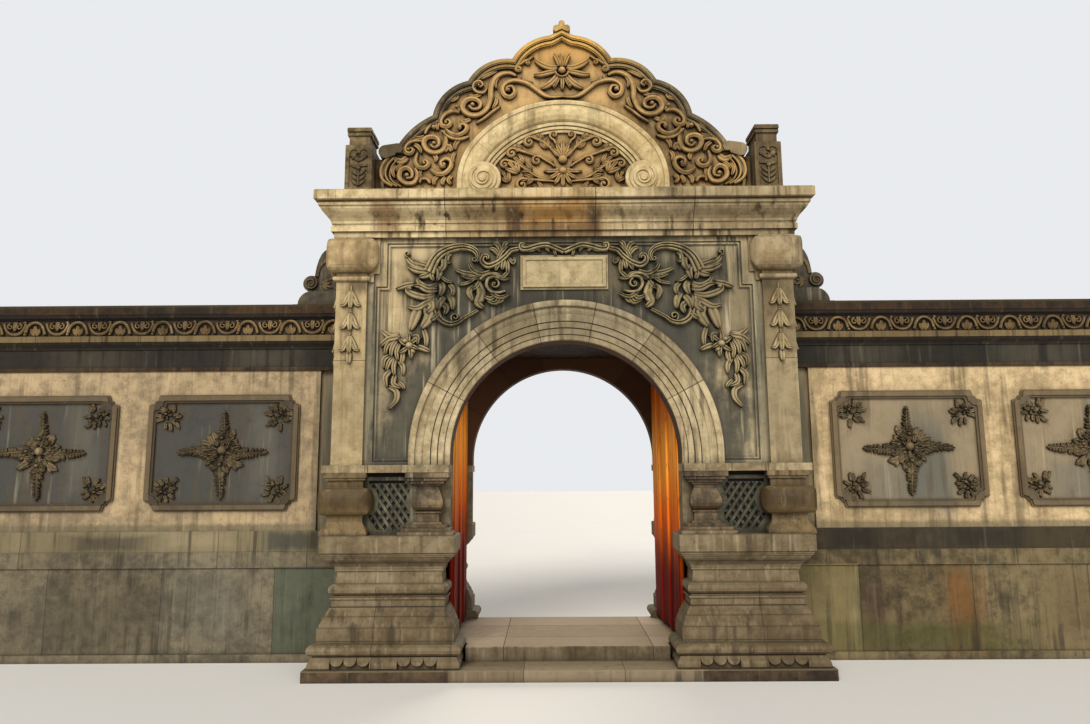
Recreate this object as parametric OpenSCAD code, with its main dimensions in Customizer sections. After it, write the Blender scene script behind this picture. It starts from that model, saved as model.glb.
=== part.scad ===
// Arched gateway of carved stone in a panelled garden wall. A thick gate block with
// moulded pedestals, short bulbous balusters, corner pilasters, a moulded arch ring,
// a cornice and a lobed pediment, with a pair of plank leaves on timber pivots.
// Millimetres. X runs along the wall, Y from front to back and Z up. The origin is at
// ground level, on the axis of the passage, halfway through the gate.

/* [Doorway] */
// Half the clear width of the front arch
arch_r = 1110; // [920:10:1340]
// How far the rear arch's sides come in past those of the front arch
rear_in = 70; // [0:5:120]
// Height of the front arch's straight legs above the springing
front_stilt = 90; // [0:10:110]
// Height of the rear arch's straight legs above the springing
rear_stilt = 70; // [0:10:150]
// Radial width of the moulded arch ring
ring_w = 395; // [330:5:450]
// How far the arch ring stands out of the wall
ring_proud = 55; // [40:5:80]
// Thickness of the front wall, ahead of the leaves
front_wall_t = 240; // [180:10:320]
// Thickness of the rear wall, behind the leaves
rear_wall_t = 170; // [120:10:260]

/* [Base and pedestals] */
// Height of the lower step that carries the gate
base_h = 100; // [80:5:140]
// Rise from the lower step to the passage floor
step_rise = 130; // [100:5:160]
// How far the upper step lies behind the lower one
step_tread = 350; // [280:10:380]
// Height of the pedestals
pedestal_h = 1166; // [980:2:1400]
// Width of one side of the gate, from the arch to the outer face
pier_w = 1090; // [1000:10:1250]
// Overhang of the lower step beyond the pedestal foot
base_over = 38; // [20:2:60]

/* [Wall and pilasters] */
// Height of the short balusters on the pedestals
order_h = 580; // [480:5:700]
// Thickness of the impost slab
impost_h = 70; // [50:1:90]
// Height of the wall from the arch ring's crown to the cornice
frieze_h = 635; // [490:5:790]
// Width of a corner pilaster
pilaster_w = 300; // [240:10:360]
// Height of the cushion capital with its neck ring
capital_h = 445; // [360:5:540]
// Height of the cornice
cornice_h = 445; // [360:5:540]

/* [Pediment] */
// Depth of the pediment from front to back
pediment_t = 1400; // [1100:10:1500]
// Half the span of the scrolled band
band_half_w = 1090; // [900:10:1150]
// Radial width of the scrolled band
band_w = 345; // [280:5:400]
// Height of a corner post
post_h = 750; // [600:10:900]
// Width of a corner post
post_w = 270; // [220:2:320]

/* [Leaves] */
// Thickness of a leaf's planks
leaf_t = 50; // [40:2:64]
// Thickness of the battens across a leaf's back
batten_t = 28; // [20:1:40]
// How far the right leaf is turned in from fully open, in degrees
right_leaf_turn = 4; // [0:1:20]
// Radius of a leaf's pivot pins
pin_r = 22; // [16:1:28]

/* [Garden wall] */
// Thickness of the garden wall
wall_t = 600; // [480:10:740]
// Length of one panelled bay
bay_w = 1870; // [1500:10:2300]
// Number of bays on each side
bays = 2; // [1:1:3]
// Length of plain wall between the gate and the first bay
wall_margin = 370; // [240:10:500]
// Height of the stone dado
dado_h = 1270; // [1000:10:1540]
// Height of the plastered field
field_h = 1630; // [1350:10:1960]
// Height of the frieze above the field
wall_frieze_h = 545; // [440:5:660]
// Height of the coping
coping_h = 147; // [120:1:180]

/* [Hidden] */

// Clearances
meet_gap = 10;        // between the two closed leaves
swing_clear = 15;     // between a leaf's free edge and the rear wall
side_clear = 7;       // between an open leaf's battens and the chamber's side
leaf_lift = 45;       // between the passage floor and a leaf
leaf_drop = 20;       // between a leaf and the ceiling
pin_clear = 1;        // round a pivot pin in its socket
notch_clear = 30;     // between the gate's mouldings and the garden wall's face

// Leaves and the chamber that they swing in
strip_t = 18;         // cover strips on a leaf's passage side
pivot_x = arch_r + 10;
pivot_side = leaf_t / 2 + batten_t + side_clear;
pivot_back = leaf_t / 2 + strip_t + 17;
chamber_x = pivot_x + pivot_side;
leaf_reach = pivot_x - meet_gap / 2;
chamber_d = pivot_back + leaf_reach + swing_clear;
gate_t = front_wall_t + chamber_d + rear_wall_t;
half_t = gate_t / 2;
chamber_y0 = front_wall_t - half_t;
chamber_y1 = chamber_y0 + chamber_d;
pivot_y = chamber_y0 + pivot_back;
heel_r = leaf_t / 2 + 5;
rear_r = arch_r - rear_in;

// Heights
floor_z = base_h + step_rise;
order_z = base_h + pedestal_h;
impost_z = order_z + order_h;
spring_z = impost_z + impost_h;
ring_r = arch_r + ring_w;
crown_z = spring_z + front_stilt + ring_r;
cornice_z = crown_z + frieze_h;
roof_z = cornice_z + cornice_h;
crown_cover = 120;    // from the arch's crown to the chamber's ceiling
ceiling_z = spring_z + arch_r + crown_cover;

// Places across and through the gate
side_x = arch_r + pier_w;
die_in = arch_r + 60;
die_out = side_x - 50;
die_y = half_t + 30;
foot_over = 196;      // overhang of a pedestal's foot
pilaster_out = 38;    // a pilaster stands out of the gate's side
pilaster_proud = 60;  // and of its front
edge_proud = 26;      // raised border round the sunk panel
corner_x = side_x + pilaster_out - pilaster_w / 2;
corner_y = half_t + pilaster_proud - pilaster_w / 2;
order_y = half_t - 60; // face of the jamb wall behind the balusters
shaft_x = arch_r + ring_w * 0.525;
shaft_half = 112;
shaft_proud = 60;

// Segments in a rounded moulding, and in a round that stays a true curve
ROUND = 6;
SMOOTH = 64;

// Pieces of a moulding's outline, from its foot up: [overhang, height]
function bead(x, z0, z1) = let (r = (z1 - z0) / 2)
    [for (i = [0:ROUND]) [x + r * sin(180 * i / ROUND), z0 + r - r * cos(180 * i / ROUND)]];
function cove(x0, z0, x1, z1) = [for (i = [0:ROUND]) let (a = 90 * i / ROUND)
    [x0 + (x1 - x0) * (1 - cos(a)), z0 + (z1 - z0) * sin(a)]];
function ovolo(x0, z0, x1, z1) = [for (i = [0:ROUND]) let (a = 90 * i / ROUND)
    [x0 + (x1 - x0) * sin(a), z0 + (z1 - z0) * (1 - cos(a))]];
function cyma(x0, z0, x1, z1) = [for (i = [0:ROUND]) let (a = 180 * i / ROUND)
    [x0 + (x1 - x0) * (1 - cos(a)) / 2, z0 + (z1 - z0) * i / ROUND]];
function fillet(x, z0, z1) = [[x, z0], [x, z1]];
// The same outline stretched to another height
function stretched(prof, k) = [for (p = prof) [p[0], p[1] * k]];

// Outline of a block whose sides both carry the same moulding
function both_sides(half, prof) = concat(
    [for (p = prof) [half + p[0], p[1]]],
    [for (i = [len(prof) - 1:-1:0]) [-half - prof[i][0], prof[i][1]]]);

// Mouldings of a pedestal, drawn for a height of 1166
PEDESTAL = stretched(concat(
    fillet(foot_over - 36, 0, 104),
    bead(foot_over - 42, 112, 218),
    fillet(136, 222, 348),
    cyma(124, 350, 96, 438),
    cyma(82, 446, 50, 520),
    fillet(34, 522, 586),
    fillet(48, 588, 606),
    fillet(30, 608, 620),
    bead(10, 622, 728),
    cove(6, 730, 0, 790),
    fillet(0, 792, 838),
    fillet(14, 840, 856),
    cyma(18, 860, 98, 972),
    fillet(112, 974, 988),
    fillet(122, 990, 1004),
    [[130, 1006], [138, 1014], [138, 1156], [128, 1166]]), pedestal_h / 1166);

// Mouldings of a bulb block and of a baluster, drawn for a height of 580
BULB = stretched(concat(
    fillet(58, 0, 22),
    cyma(56, 24, 2, 128),
    fillet(0, 130, 162),
    [for (i = [0:2 * ROUND]) let (a = 90 * i / ROUND - 90)
        [4 + 91 * pow(cos(a), 0.72), 312 + 128 * sin(a)]],
    fillet(0, 450, 508),
    fillet(22, 510, 532),
    fillet(36, 534, 580)), order_h / 580);
BALUSTER = stretched(concat(
    fillet(146, 0, 32),
    fillet(116, 34, 64),
    fillet(80, 66, 92),
    cove(30, 94, 4, 118),
    fillet(-2, 120, 196),
    fillet(12, 198, 212),
    [[-4, 216], [12, 230], [28, 252], [36, 280], [36, 306], [26, 346], [10, 384], [-4, 420]],
    fillet(-8, 424, 452),
    fillet(14, 454, 474),
    fillet(46, 476, 502),
    fillet(72, 504, 530),
    fillet(92, 532, 580)), order_h / 580);

// Mouldings of a capital, drawn for a height of 445
CAPITAL = stretched(concat(
    bead(4, 0, 58),
    fillet(2, 62, 86),
    [for (i = [0:ROUND]) let (a = 90 * i / ROUND) [14 + 94 * sin(a), 228 - 140 * cos(a)]],
    [[110, 270]],
    [for (i = [0:ROUND]) let (a = 90 * i / ROUND) [30 + 78 * cos(a), 312 + 118 * sin(a)]],
    fillet(30, 436, 445)), capital_h / 445);

// Mouldings of the cornice, drawn for a height of 445
CORNICE = stretched(concat(
    fillet(74, 0, 56),
    fillet(100, 58, 112),
    fillet(88, 114, 134),
    cyma(96, 136, 190, 292),
    fillet(204, 294, 322),
    fillet(192, 324, 338),
    [[232, 340], [240, 348], [240, 433], [228, 445]]), cornice_h / 445);

// Mouldings of a corner post, drawn for a height of 750
POST = stretched(concat(
    fillet(0, 0, 552),
    [[-8, 560]],
    fillet(-30, 562, 660),
    fillet(-14, 662, 692),
    fillet(-26, 694, 704),
    fillet(-10, 706, 738),
    [[-18, 750]]), post_h / 750);

// Stepped mouldings of the arch ring: [distance from the opening, how far it stands out]
RING = [[0, 6], [8, 12], [52, 12], [55, 5], [60, 20], [112, 24], [119, 13], [124, 30], [176, 34],
    [183, 22], [188, 36], [255, 42], [260, 31], [266, 32], [292, 38], [318, 30], [330, 32],
    [334, ring_proud - 4], [342, ring_proud], [388, ring_proud], [395, ring_proud - 6]];

// Mouldings of the scrolled band: [distance from its inner edge, how far it stands out]
BAND = [[0, 26], [22, 30], [27, 22], [32, 40], [58, 44], [64, 34], [70, 54], [98, 60], [106, 46],
    [128, 64], [170, 80], [222, 86], [262, 80], [286, 62], [294, 70], [320, 74], [338, 66], [345, 50]];

// Circles whose tops make the pediment's lobes: [across, up from the cornice, radius],
// drawn for a foot 1873 wide on each side of the axis
LOBES = [[78, 1304, 504], [576, 1089, 460], [878, 840, 476], [1001, 190, 812], [1543, 235, 330]];
post_x = corner_x - 14;
foot_gap = 66;        // between the pediment's foot and a corner post
pediment_half_w = post_x - post_w / 2 - foot_gap;
grow = pediment_half_w / 1873;
apex_h = 1868 * grow;
coping_w = 104;       // thickness of the coping on the pediment
field_back = 60;      // the pediment's field lies behind the coping's edge
curl_r = 70;          // curl at the coping's foot
foot_edge = 26;       // thin raised edge below the curl

// Places on the garden wall
wall_x1 = side_x + wall_margin + bays * bay_w;
frieze_z = dado_h + field_h;
coping_z = frieze_z + wall_frieze_h;
wall_top = coping_z + coping_h;
panel_w = bay_w - 310;
panel_h = field_h - 450;
panel_cut = 110;      // size of the notch in a panel's corner

// The same piece on the left, mirrored from the right
module left() { mirror([1, 0, 0]) children(); }
// The same piece on the rear, mirrored from the front
module rear() { mirror([0, 1, 0]) children(); }
// A piece on the front and the same on the rear
module both_faces() { children(); mirror([0, 1, 0]) children(); }

// An outline drawn across the gate and given a depth from y0 to y1
module across(y0, y1) {
    translate([0, y1, 0]) rotate([90, 0, 0]) linear_extrude(y1 - y0) children();
}

// An outline drawn from front to back and given a length from x0 to x1
module along(x0, x1) {
    translate([x0, 0, 0]) rotate([90, 0, 90]) linear_extrude(x1 - x0) children();
}

// A block whose moulding runs round all four sides and mitres at the corners
module moulded_block(cx, cy, half_x, half_y, z, prof) {
    reach = half_x + half_y + 1000;
    translate([cx, cy, z]) intersection() {
        across(-reach, reach) polygon(both_sides(half_x, prof));
        along(-reach, reach) polygon(both_sides(half_y, prof));
    }
}

// Upright bar whose plan is a rectangle with rounded corners
module rounded_bar(cx, cy, half_x, half_y, r, z0, z1) {
    translate([cx, cy, z0]) linear_extrude(z1 - z0) union() {
        square([2 * half_x, 2 * (half_y - r)], center = true);
        square([2 * (half_x - r), 2 * half_y], center = true);
        for (sx = [-1, 1], sy = [-1, 1])
            translate([sx * (half_x - r), sy * (half_y - r)]) circle(r = r, $fn = SMOOTH);
    }
}

// Space that the garden wall needs where it meets the gate's side
module wall_notch() {
    translate([side_x, -wall_t / 2 - notch_clear, 0])
        cube([1000, wall_t + 2 * notch_clear, wall_top + 1000]);
}

// Space of the chamber that the leaves swing in
module chamber_space() {
    translate([-chamber_x, chamber_y0, 0]) cube([2 * chamber_x, chamber_d, ceiling_z]);
}

module base_slab() {
    foot = die_y + foot_over + base_over;
    ease = 8;
    half = die_out + foot_over + base_over;
    color("tan") difference() {
        along(-half, half) polygon([[-foot, 0], [foot, 0], [foot, base_h - ease],
            [foot - ease, base_h], [-foot + ease, base_h], [-foot, base_h - ease]]);
        wall_notch();
        left() wall_notch();
    }
}

module passage_floor() {
    foot = die_y + foot_over + base_over - step_tread;
    clear_x = die_in - foot_over - 18;
    color("rosybrown") translate([0, 0, base_h]) linear_extrude(step_rise) union() {
        translate([-clear_x, -foot]) square([2 * clear_x, 2 * foot]);
        translate([-chamber_x, chamber_y0]) square([2 * chamber_x, chamber_d]);
    }
}

// Outline of scrolled feet with half-round pendants between them, from u0 to u1
module apron_outline(u0, u1, feet) {
    top = 104 * pedestal_h / 1166;
    foot_w = 205;
    inner_w = feet > 2 ? 246 : 0;
    span = (u1 - u0 - 2 * foot_w - inner_w) / (feet - 1);
    starts = feet > 2 ? [u0 + foot_w, u0 + foot_w + span + inner_w] : [u0 + foot_w];
    pend = span / 3;
    difference() {
        translate([u0, 0]) square([u1 - u0, top]);
        for (s = starts) difference() {
            translate([s, -1]) square([span, top - 8]);
            for (i = [0:2]) translate([s + (i + 0.5) * pend, top - 14])
                circle(r = pend / 2 - 2, $fn = SMOOTH);
        }
    }
}

module right_pedestal() {
    half_x = (die_out - die_in) / 2;
    foot_x = half_x + foot_over;
    foot_y = die_y + foot_over;
    top = 104 * pedestal_h / 1166;
    apron = concat(fillet(foot_over - 10, 0, 8), fillet(foot_over, 12, 26),
        cyma(foot_over, 40, foot_over - 30, top));
    color("tan") difference() {
        union() {
            moulded_block((die_in + die_out) / 2, 0, half_x, die_y, base_h, PEDESTAL);
            intersection() {
                moulded_block((die_in + die_out) / 2, 0, half_x, die_y, base_h, apron);
                translate([(die_in + die_out) / 2, 0, base_h])
                    across(-foot_y - 50, foot_y + 50) apron_outline(-foot_x, foot_x, 3);
                translate([0, 0, base_h]) along(0, side_x + foot_x) union() {
                    for (m = [0, 1]) mirror([m, 0]) apron_outline(-foot_y, -foot_y + 760, 2);
                    translate([760 - foot_y, 0]) square([2 * (foot_y - 760), top]);
                }
            }
        }
        chamber_space();
        wall_notch();
    }
}

// Plan of the wall behind the balusters: front jamb, chamber side and rear jamb
module jamb_plan() {
    polygon([[arch_r, -order_y], [side_x, -order_y], [side_x, order_y], [rear_r, order_y],
        [rear_r, chamber_y1], [chamber_x, chamber_y1], [chamber_x, chamber_y0],
        [arch_r, chamber_y0]]);
}

module right_jamb_wall() {
    color("darkkhaki") translate([0, 0, order_z]) linear_extrude(order_h) jamb_plan();
}

// Bulbous block under a corner pilaster, wrapped round the jamb wall's corner
module bulb_block() {
    half_x = pilaster_w / 2 + 16;
    half_y = pilaster_w / 2 + 6;
    color("tan") difference() {
        intersection() {
            moulded_block(corner_x, -corner_y, half_x, half_y, order_z, BULB);
            rounded_bar(corner_x, -corner_y, half_x + 95, half_y + 95, 118, order_z, impost_z);
        }
        translate([0, -order_y, order_z - 1]) cube([side_x, gate_t, order_h + 2]);
        wall_notch();
    }
}

module baluster() {
    color("tan") intersection() {
        moulded_block(shaft_x, -order_y, shaft_half, shaft_proud, order_z, BALUSTER);
        translate([0, -order_y - 500, order_z]) cube([side_x, 500, order_h]);
    }
}

module right_bulb_blocks() { both_faces() bulb_block(); }
module right_balusters() { both_faces() baluster(); }

// Room between a baluster and a bulb block, drawn in by a border, wider beside the baluster
module lattice_room(border) {
    difference() {
        translate([shaft_x, border]) square([corner_x - shaft_x, order_h - 2 * border]);
        translate([corner_x, 0]) polygon(both_sides(pilaster_w / 2 + 16 + border, BULB));
        translate([shaft_x, 0]) polygon(both_sides(shaft_half + 1.5 * border, BALUSTER));
    }
}

// The part of a flat shape that lies between two heights
module level(z0, z1) {
    intersection() {
        children();
        translate([shaft_x, z0]) square([corner_x - shaft_x, z1 - z0]);
    }
}

// Lozenge panel between a baluster and a bulb block, with two layers of bars on a back plate,
// a frame, and a rail across the top
module lattice_panel() {
    back = 24;
    bar = 27;
    bar_t = 16;
    pitch = 62;
    rows = 7;
    rim = 42;
    rail_top = order_h - 40;
    rail_low = rail_top - 34;
    net_top = rail_low - 28;
    deep = -order_y - back;
    mid = (shaft_x + corner_x) / 2 - 20;
    color("slategray") translate([0, 0, order_z]) {
        across(deep, -order_y) lattice_room(0);
        across(deep - 2 * bar_t - 4, deep) level(0, rail_low) difference() {
            lattice_room(0);
            lattice_room(rim);
        }
        across(deep - 2 * bar_t - 10, deep) level(rail_low, rail_top) lattice_room(0);
        for (layer = [0, 1]) intersection() {
            across(deep - (layer + 1) * bar_t, deep - layer * bar_t)
                level(0, net_top) lattice_room(rim - 1);
            across(-order_y - 200, -order_y) translate([mid, order_h / 2])
                rotate(layer == 0 ? 35 : -35) for (i = [-rows:rows])
                    translate([i * pitch - bar / 2, -600]) square([bar, 1200]);
        }
    }
}

module right_lattice_panels() { both_faces() lattice_panel(); }

module right_impost() {
    over = 98;
    setback = 16;
    x0 = shaft_x + shaft_half + 64;
    x1 = corner_x - pilaster_w / 2 - 58;
    color("wheat") difference() {
        translate([0, 0, impost_z]) linear_extrude(impost_h) polygon([
            [arch_r, -half_t - over], [x0, -half_t - over], [x0, -half_t - over + setback],
            [x1, -half_t - over + setback], [x1, -half_t - over],
            [side_x + 113, -half_t - over], [side_x + 113, half_t + over],
            [x1, half_t + over], [x1, half_t + over - setback], [x0, half_t + over - setback],
            [x0, half_t + over], [rear_r, half_t + over],
            [rear_r, chamber_y1], [chamber_x, chamber_y1], [chamber_x, chamber_y0],
            [arch_r, chamber_y0]]);
        wall_notch();
    }
}

module right_core_wall() {
    color("gray") translate([chamber_x, chamber_y0, spring_z])
        cube([side_x - chamber_x, chamber_d, ceiling_z - spring_z]);
}

// Section of an arch ring: its moulded face in front and its plain back behind
module ring_section(inner, back) {
    k = (ring_r - arch_r) / 395;
    polygon(concat([[inner, back]],
        [for (p = RING) [p[0] == 0 ? inner : arch_r + k * p[0], half_t + p[1]]], [[ring_r, back]]));
}

// Arch ring on straight legs of a given height
module arch_ring(inner, back, legs) {
    color("wheat") translate([0, 0, spring_z + legs]) {
        rotate([90, 0, 0]) rotate_extrude(angle = 180, $fn = SMOOTH) ring_section(inner, back);
        if (legs > 0) translate([0, 0, -legs]) for (m = [0, 1]) mirror([m, 0, 0])
            linear_extrude(legs) mirror([0, 1]) ring_section(inner, back);
    }
}

module front_arch_ring() { arch_ring(arch_r, -chamber_y0, front_stilt); }
module rear_arch_ring() { rear() arch_ring(rear_r, chamber_y1, rear_stilt); }

// Right half of the sunk panel round the arch, stepped in beside the capital
module sunk_panel(inset) {
    low_x = corner_x - pilaster_w / 2 - 86;
    high_x = low_x - 100;
    ear_z = cornice_z - capital_h - 40;
    top_z = cornice_z - 47;
    polygon([[-1, spring_z + 30 + inset], [low_x - inset, spring_z + 30 + inset],
        [low_x - inset, ear_z - inset], [high_x - inset, ear_z - inset],
        [high_x - inset, top_z - inset], [-1, top_z - inset]]);
}

// Right half of a wall above the springing, with its share of the arch cut out
module spandrel(back, legs) {
    steps = [[0, 10], [14, 20], [30, 6], [40, 0]];
    color("slategray") difference() {
        union() {
            across(-half_t, back) translate([0, spring_z]) square([side_x, cornice_z - spring_z]);
            across(-half_t - edge_proud, -half_t) difference() {
                translate([0, spring_z])
                    square([corner_x - pilaster_w / 2, cornice_z - spring_z]);
                sunk_panel(0);
            }
            for (i = [0:2]) across(-half_t - steps[i][1], -half_t) difference() {
                sunk_panel(steps[i][0]);
                sunk_panel(steps[i + 1][0]);
                translate([-2, 0]) square([2, cornice_z]);
            }
        }
        across(-half_t - 100, back + 1) {
            translate([0, spring_z + legs]) circle(r = ring_r, $fn = SMOOTH);
            translate([-1, spring_z - 1]) square([ring_r + 1, legs + 1]);
        }
    }
}

module front_right_spandrel() { spandrel(chamber_y0, front_stilt); }
module rear_right_spandrel() { rear() spandrel(-chamber_y1, rear_stilt); }

module chamber_ceiling() {
    socket_d = 50;
    color("gray") difference() {
        translate([-side_x, chamber_y0, ceiling_z])
            cube([2 * side_x, chamber_d, cornice_z - ceiling_z]);
        for (sx = [-1, 1]) translate([sx * pivot_x, pivot_y, ceiling_z - 1])
            cylinder(h = socket_d + 1, r = pin_r + pin_clear, $fn = SMOOTH);
    }
}

// Bare plaque between the arch and the cornice, with a flat border round a sunk face
module front_plaque() {
    half_w = 410;
    z0 = crown_z + 132;
    z1 = cornice_z - 200;
    border = 30;
    color("wheat") difference() {
        union() {
            across(-half_t - 40, -half_t) translate([-half_w, z0]) square([2 * half_w, z1 - z0]);
            across(-half_t - 18, -half_t) translate([-half_w - 22, z0 - 22])
                square([2 * half_w + 44, z1 - z0 + 44]);
        }
        across(-half_t - 60, -half_t - 30) translate([-half_w + border, z0 + border])
            square([2 * (half_w - border), z1 - z0 - 2 * border]);
    }
}

// Pilaster at the right-hand corner, wrapped round the wall's edge
module pilaster() {
    front = -half_t - pilaster_proud;
    color("burlywood") translate([0, 0, spring_z])
        linear_extrude(cornice_z - capital_h - spring_z)
            polygon([[corner_x - pilaster_w / 2, front], [side_x + pilaster_out, front],
                [side_x + pilaster_out, front + pilaster_w], [side_x, front + pilaster_w],
                [side_x, -half_t], [corner_x - pilaster_w / 2, -half_t]]);
}

// Cushion capital with a neck ring, and the flat block that backs it on the wall
module capital() {
    z = cornice_z - capital_h;
    half = pilaster_w / 2;
    neck = 60 * capital_h / 445;
    color("burlywood") {
        difference() {
            intersection() {
                moulded_block(corner_x, -corner_y, half, half, z, CAPITAL);
                rounded_bar(corner_x, -corner_y, half + 110, half + 110, 130, z, cornice_z);
            }
            translate([0, -half_t, z - 1]) cube([side_x, gate_t, capital_h + 2]);
            translate([0, -half_t - edge_proud, z - 1])
                cube([corner_x - half, gate_t, capital_h + 2]);
        }
        across(-half_t - edge_proud - 18, -half_t - edge_proud) union() {
            translate([corner_x - half - 62, z]) square([62, capital_h]);
            translate([corner_x - half - 118, z + neck + 26])
                square([60, capital_h - neck - 26]);
        }
    }
}

module right_pilasters() { both_faces() pilaster(); }
module right_capitals() { both_faces() capital(); }

module cornice() {
    color("tan") moulded_block(0, 0, side_x, half_t, cornice_z, CORNICE);
}

// Lobed outline of the pediment above the cornice, drawn in by inset and pointed at the top
module pediment_shape(inset) {
    intersection() {
        union() {
            for (m = [0, 1]) mirror([m, 0]) {
                for (l = LOBES) translate([l[0] * grow, l[1] * grow])
                    circle(r = l[2] * grow - inset, $fn = SMOOTH);
                polygon(concat([[0, LOBES[0][1] * grow]], [for (i = [0:ROUND]) let (t = i / ROUND)
                    [(252 * grow - inset / 2) * (1 - t), 1776 * grow - inset
                        + (apex_h - 1776 * grow) * pow(t, 1.5)]]));
                polygon([[0, -1], [LOBES[4][0] * grow, -1], [LOBES[4][0] * grow, LOBES[4][1] * grow],
                    [LOBES[3][0] * grow, LOBES[3][1] * grow], [LOBES[2][0] * grow, LOBES[2][1] * grow],
                    [LOBES[1][0] * grow, LOBES[1][1] * grow], [0, LOBES[0][1] * grow]]);
            }
        }
        translate([-pediment_half_w, 0]) square([2 * pediment_half_w, apex_h + 10]);
    }
}

// Outline of the coping's inner edge, thick above the curls and thin below them
module field_shape() {
    pediment_shape(coping_w);
    intersection() {
        pediment_shape(foot_edge);
        translate([-pediment_half_w, 0]) square([2 * pediment_half_w, curl_z() - 20]);
    }
}

// Body of the pediment, with low shoulders that reach to the corner posts
module pediment() {
    half = pediment_t / 2 - field_back;
    shoulder_h = 480 * grow;
    shoulder_x = post_x - post_w / 2;
    color("dimgray") translate([0, 0, roof_z]) {
        across(-half, half) field_shape();
        difference() {
            across(36 - half, half - 36)
                translate([-shoulder_x, 0]) square([2 * shoulder_x, shoulder_h]);
            across(-half, half) pediment_shape(0);
            across(-half, half) curls(0.01);
        }
    }
}

function curl_z() = 535 * grow;

// Rolled ends of the coping, which reach out over the shoulders
module curls(extra) {
    for (m = [0, 1]) mirror([m, 0]) hull() {
        translate([pediment_half_w - 46, curl_z() - 8]) circle(r = curl_r + extra, $fn = SMOOTH);
        translate([pediment_half_w - 168, curl_z() + 24]) circle(r = curl_r * 0.8 + extra, $fn = SMOOTH);
    }
}

// Coping in rolls and hollows that follows the lobes and curls up at each foot
module pediment_coping() {
    half = pediment_t / 2;
    steps = [[0, 16], [12, 4], [24, 0], [44, 8], [54, 30], [66, 20], [78, 14], [92, 26], [104, 60]];
    color("dimgray") translate([0, 0, roof_z]) {
        for (i = [0:len(steps) - 2]) across(steps[i][1] - half, half - steps[i][1]) difference() {
            pediment_shape(steps[i][0]);
            pediment_shape(steps[i + 1][0]);
            translate([-pediment_half_w - 1, -1])
                square([2 * pediment_half_w + 2, curl_z() - 19]);
        }
        across(28 - half, half - 28) intersection() {
            difference() {
                pediment_shape(0);
                pediment_shape(foot_edge);
            }
            translate([-pediment_half_w, 0]) square([2 * pediment_half_w, curl_z() - 18]);
        }
        across(-half, half) difference() {
            curls(0);
            field_shape();
        }
    }
}

// Basket-handle band with rolled feet, in three stones with a fine open joint between them
module front_scroll_band() {
    k = band_w / 345;
    face = pediment_t / 2 - field_back;
    side_r = band_half_w * 0.64;
    rise = band_half_w * 0.806;
    c = band_half_w - side_r;
    top_r = (c * c + rise * rise - side_r * side_r) / (2 * (rise - side_r));
    turn = atan2(top_r - rise, c);
    foot_z = 200;
    roll_r = 0.53 * band_w;
    sec = concat([[0, 0]], [for (p = BAND) [k * p[0], p[1]]], [[band_w, 0]]);
    color("wheat") translate([0, -face, roof_z]) {
        translate([0, 0, foot_z - top_r + rise]) rotate([90, 0, 0])
            rotate_extrude(start = turn + 0.1, angle = 179.8 - 2 * turn, $fn = SMOOTH)
                translate([top_r - band_w, 0]) polygon(sec);
        for (m = [0, 1]) mirror([m, 0, 0]) {
            translate([c, 0, foot_z]) rotate([90, 0, 0])
                rotate_extrude(angle = turn, $fn = SMOOTH)
                    translate([side_r - band_w, 0]) polygon(sec);
            translate([band_half_w - band_w, 0, 0]) mirror([0, 1, 0])
                linear_extrude(foot_z) polygon(sec);
            translate([band_half_w - band_w + 74, 0, foot_z + 15]) rotate([90, 0, 0]) {
                cylinder(h = 92, r = roll_r, $fn = SMOOTH);
                cylinder(h = 104, r = roll_r - 40, $fn = SMOOTH);
                cylinder(h = 118, r = 34, $fn = SMOOTH);
            }
        }
    }
}

module rear_scroll_band() { rear() front_scroll_band(); }

// Three-lobed finial on the coping's point
module finial() {
    depth = 170;
    half = pediment_t / 2;
    color("darkkhaki") translate([0, 0, roof_z + apex_h]) difference() {
        across(-half - 10, depth - half) {
            translate([0, 62]) circle(r = 32, $fn = SMOOTH);
            for (sx = [-1, 1]) translate([sx * 52, 6]) circle(r = 38, $fn = SMOOTH);
            translate([-24, -60]) square([48, 120]);
        }
        translate([0, 0, -apex_h]) across(-half - 20, half + 20) pediment_shape(0);
    }
}

module finials() { both_faces() finial(); }

// Sunk panel whose top edge is drawn down to a small point in the middle
module post_panel(half, low, high) {
    r = half / 2;
    translate([-half, low]) square([2 * half, high - low - r]);
    for (sx = [-1, 1]) translate([sx * r, high - r]) circle(r = r, $fn = 32);
}

module right_corner_posts() {
    color("dimgray") for (sy = [-1, 1]) difference() {
        moulded_block(post_x, sy * (half_t - post_w / 2 - 45), post_w / 2, post_w / 2 + 45, roof_z, POST);
        translate([post_x, sy * half_t + 12, roof_z]) rotate([90, 0, 0]) linear_extrude(24)
            post_panel(post_w / 2 - 40, post_h * 0.14, post_h * 0.675);
    }
}

// Section of the garden wall from front to back, both faces alike
module wall_section(prof) { polygon(both_sides(wall_t / 2, prof)); }

module right_wall_dado() {
    prof = concat(fillet(24, 0, 80), fillet(0, 82, dado_h - 364),
        fillet(18, dado_h - 362, dado_h - 207), fillet(8, dado_h - 205, dado_h));
    color("darkseagreen") along(side_x, wall_x1) wall_section(prof);
}

// Outline of a panel whose corners are cut back in an ogee
module panel_shape(inset) {
    w = panel_w / 2 - inset;
    h = panel_h / 2 - inset;
    c = panel_cut;
    cut = [[0, 1], [0.14, 0.9], [0.5, 0.82], [0.6, 0.6], [0.82, 0.5], [0.9, 0.14], [1, 0]];
    polygon(concat(
        [for (q = cut) [w - c * q[0], h - c * q[1]]],
        [for (i = [6:-1:0]) [-w + c * cut[i][0], h - c * cut[i][1]]],
        [for (q = cut) [-w + c * q[0], -h + c * q[1]]],
        [for (i = [6:-1:0]) [w - c * cut[i][0], -h + c * cut[i][1]]]));
}

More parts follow.
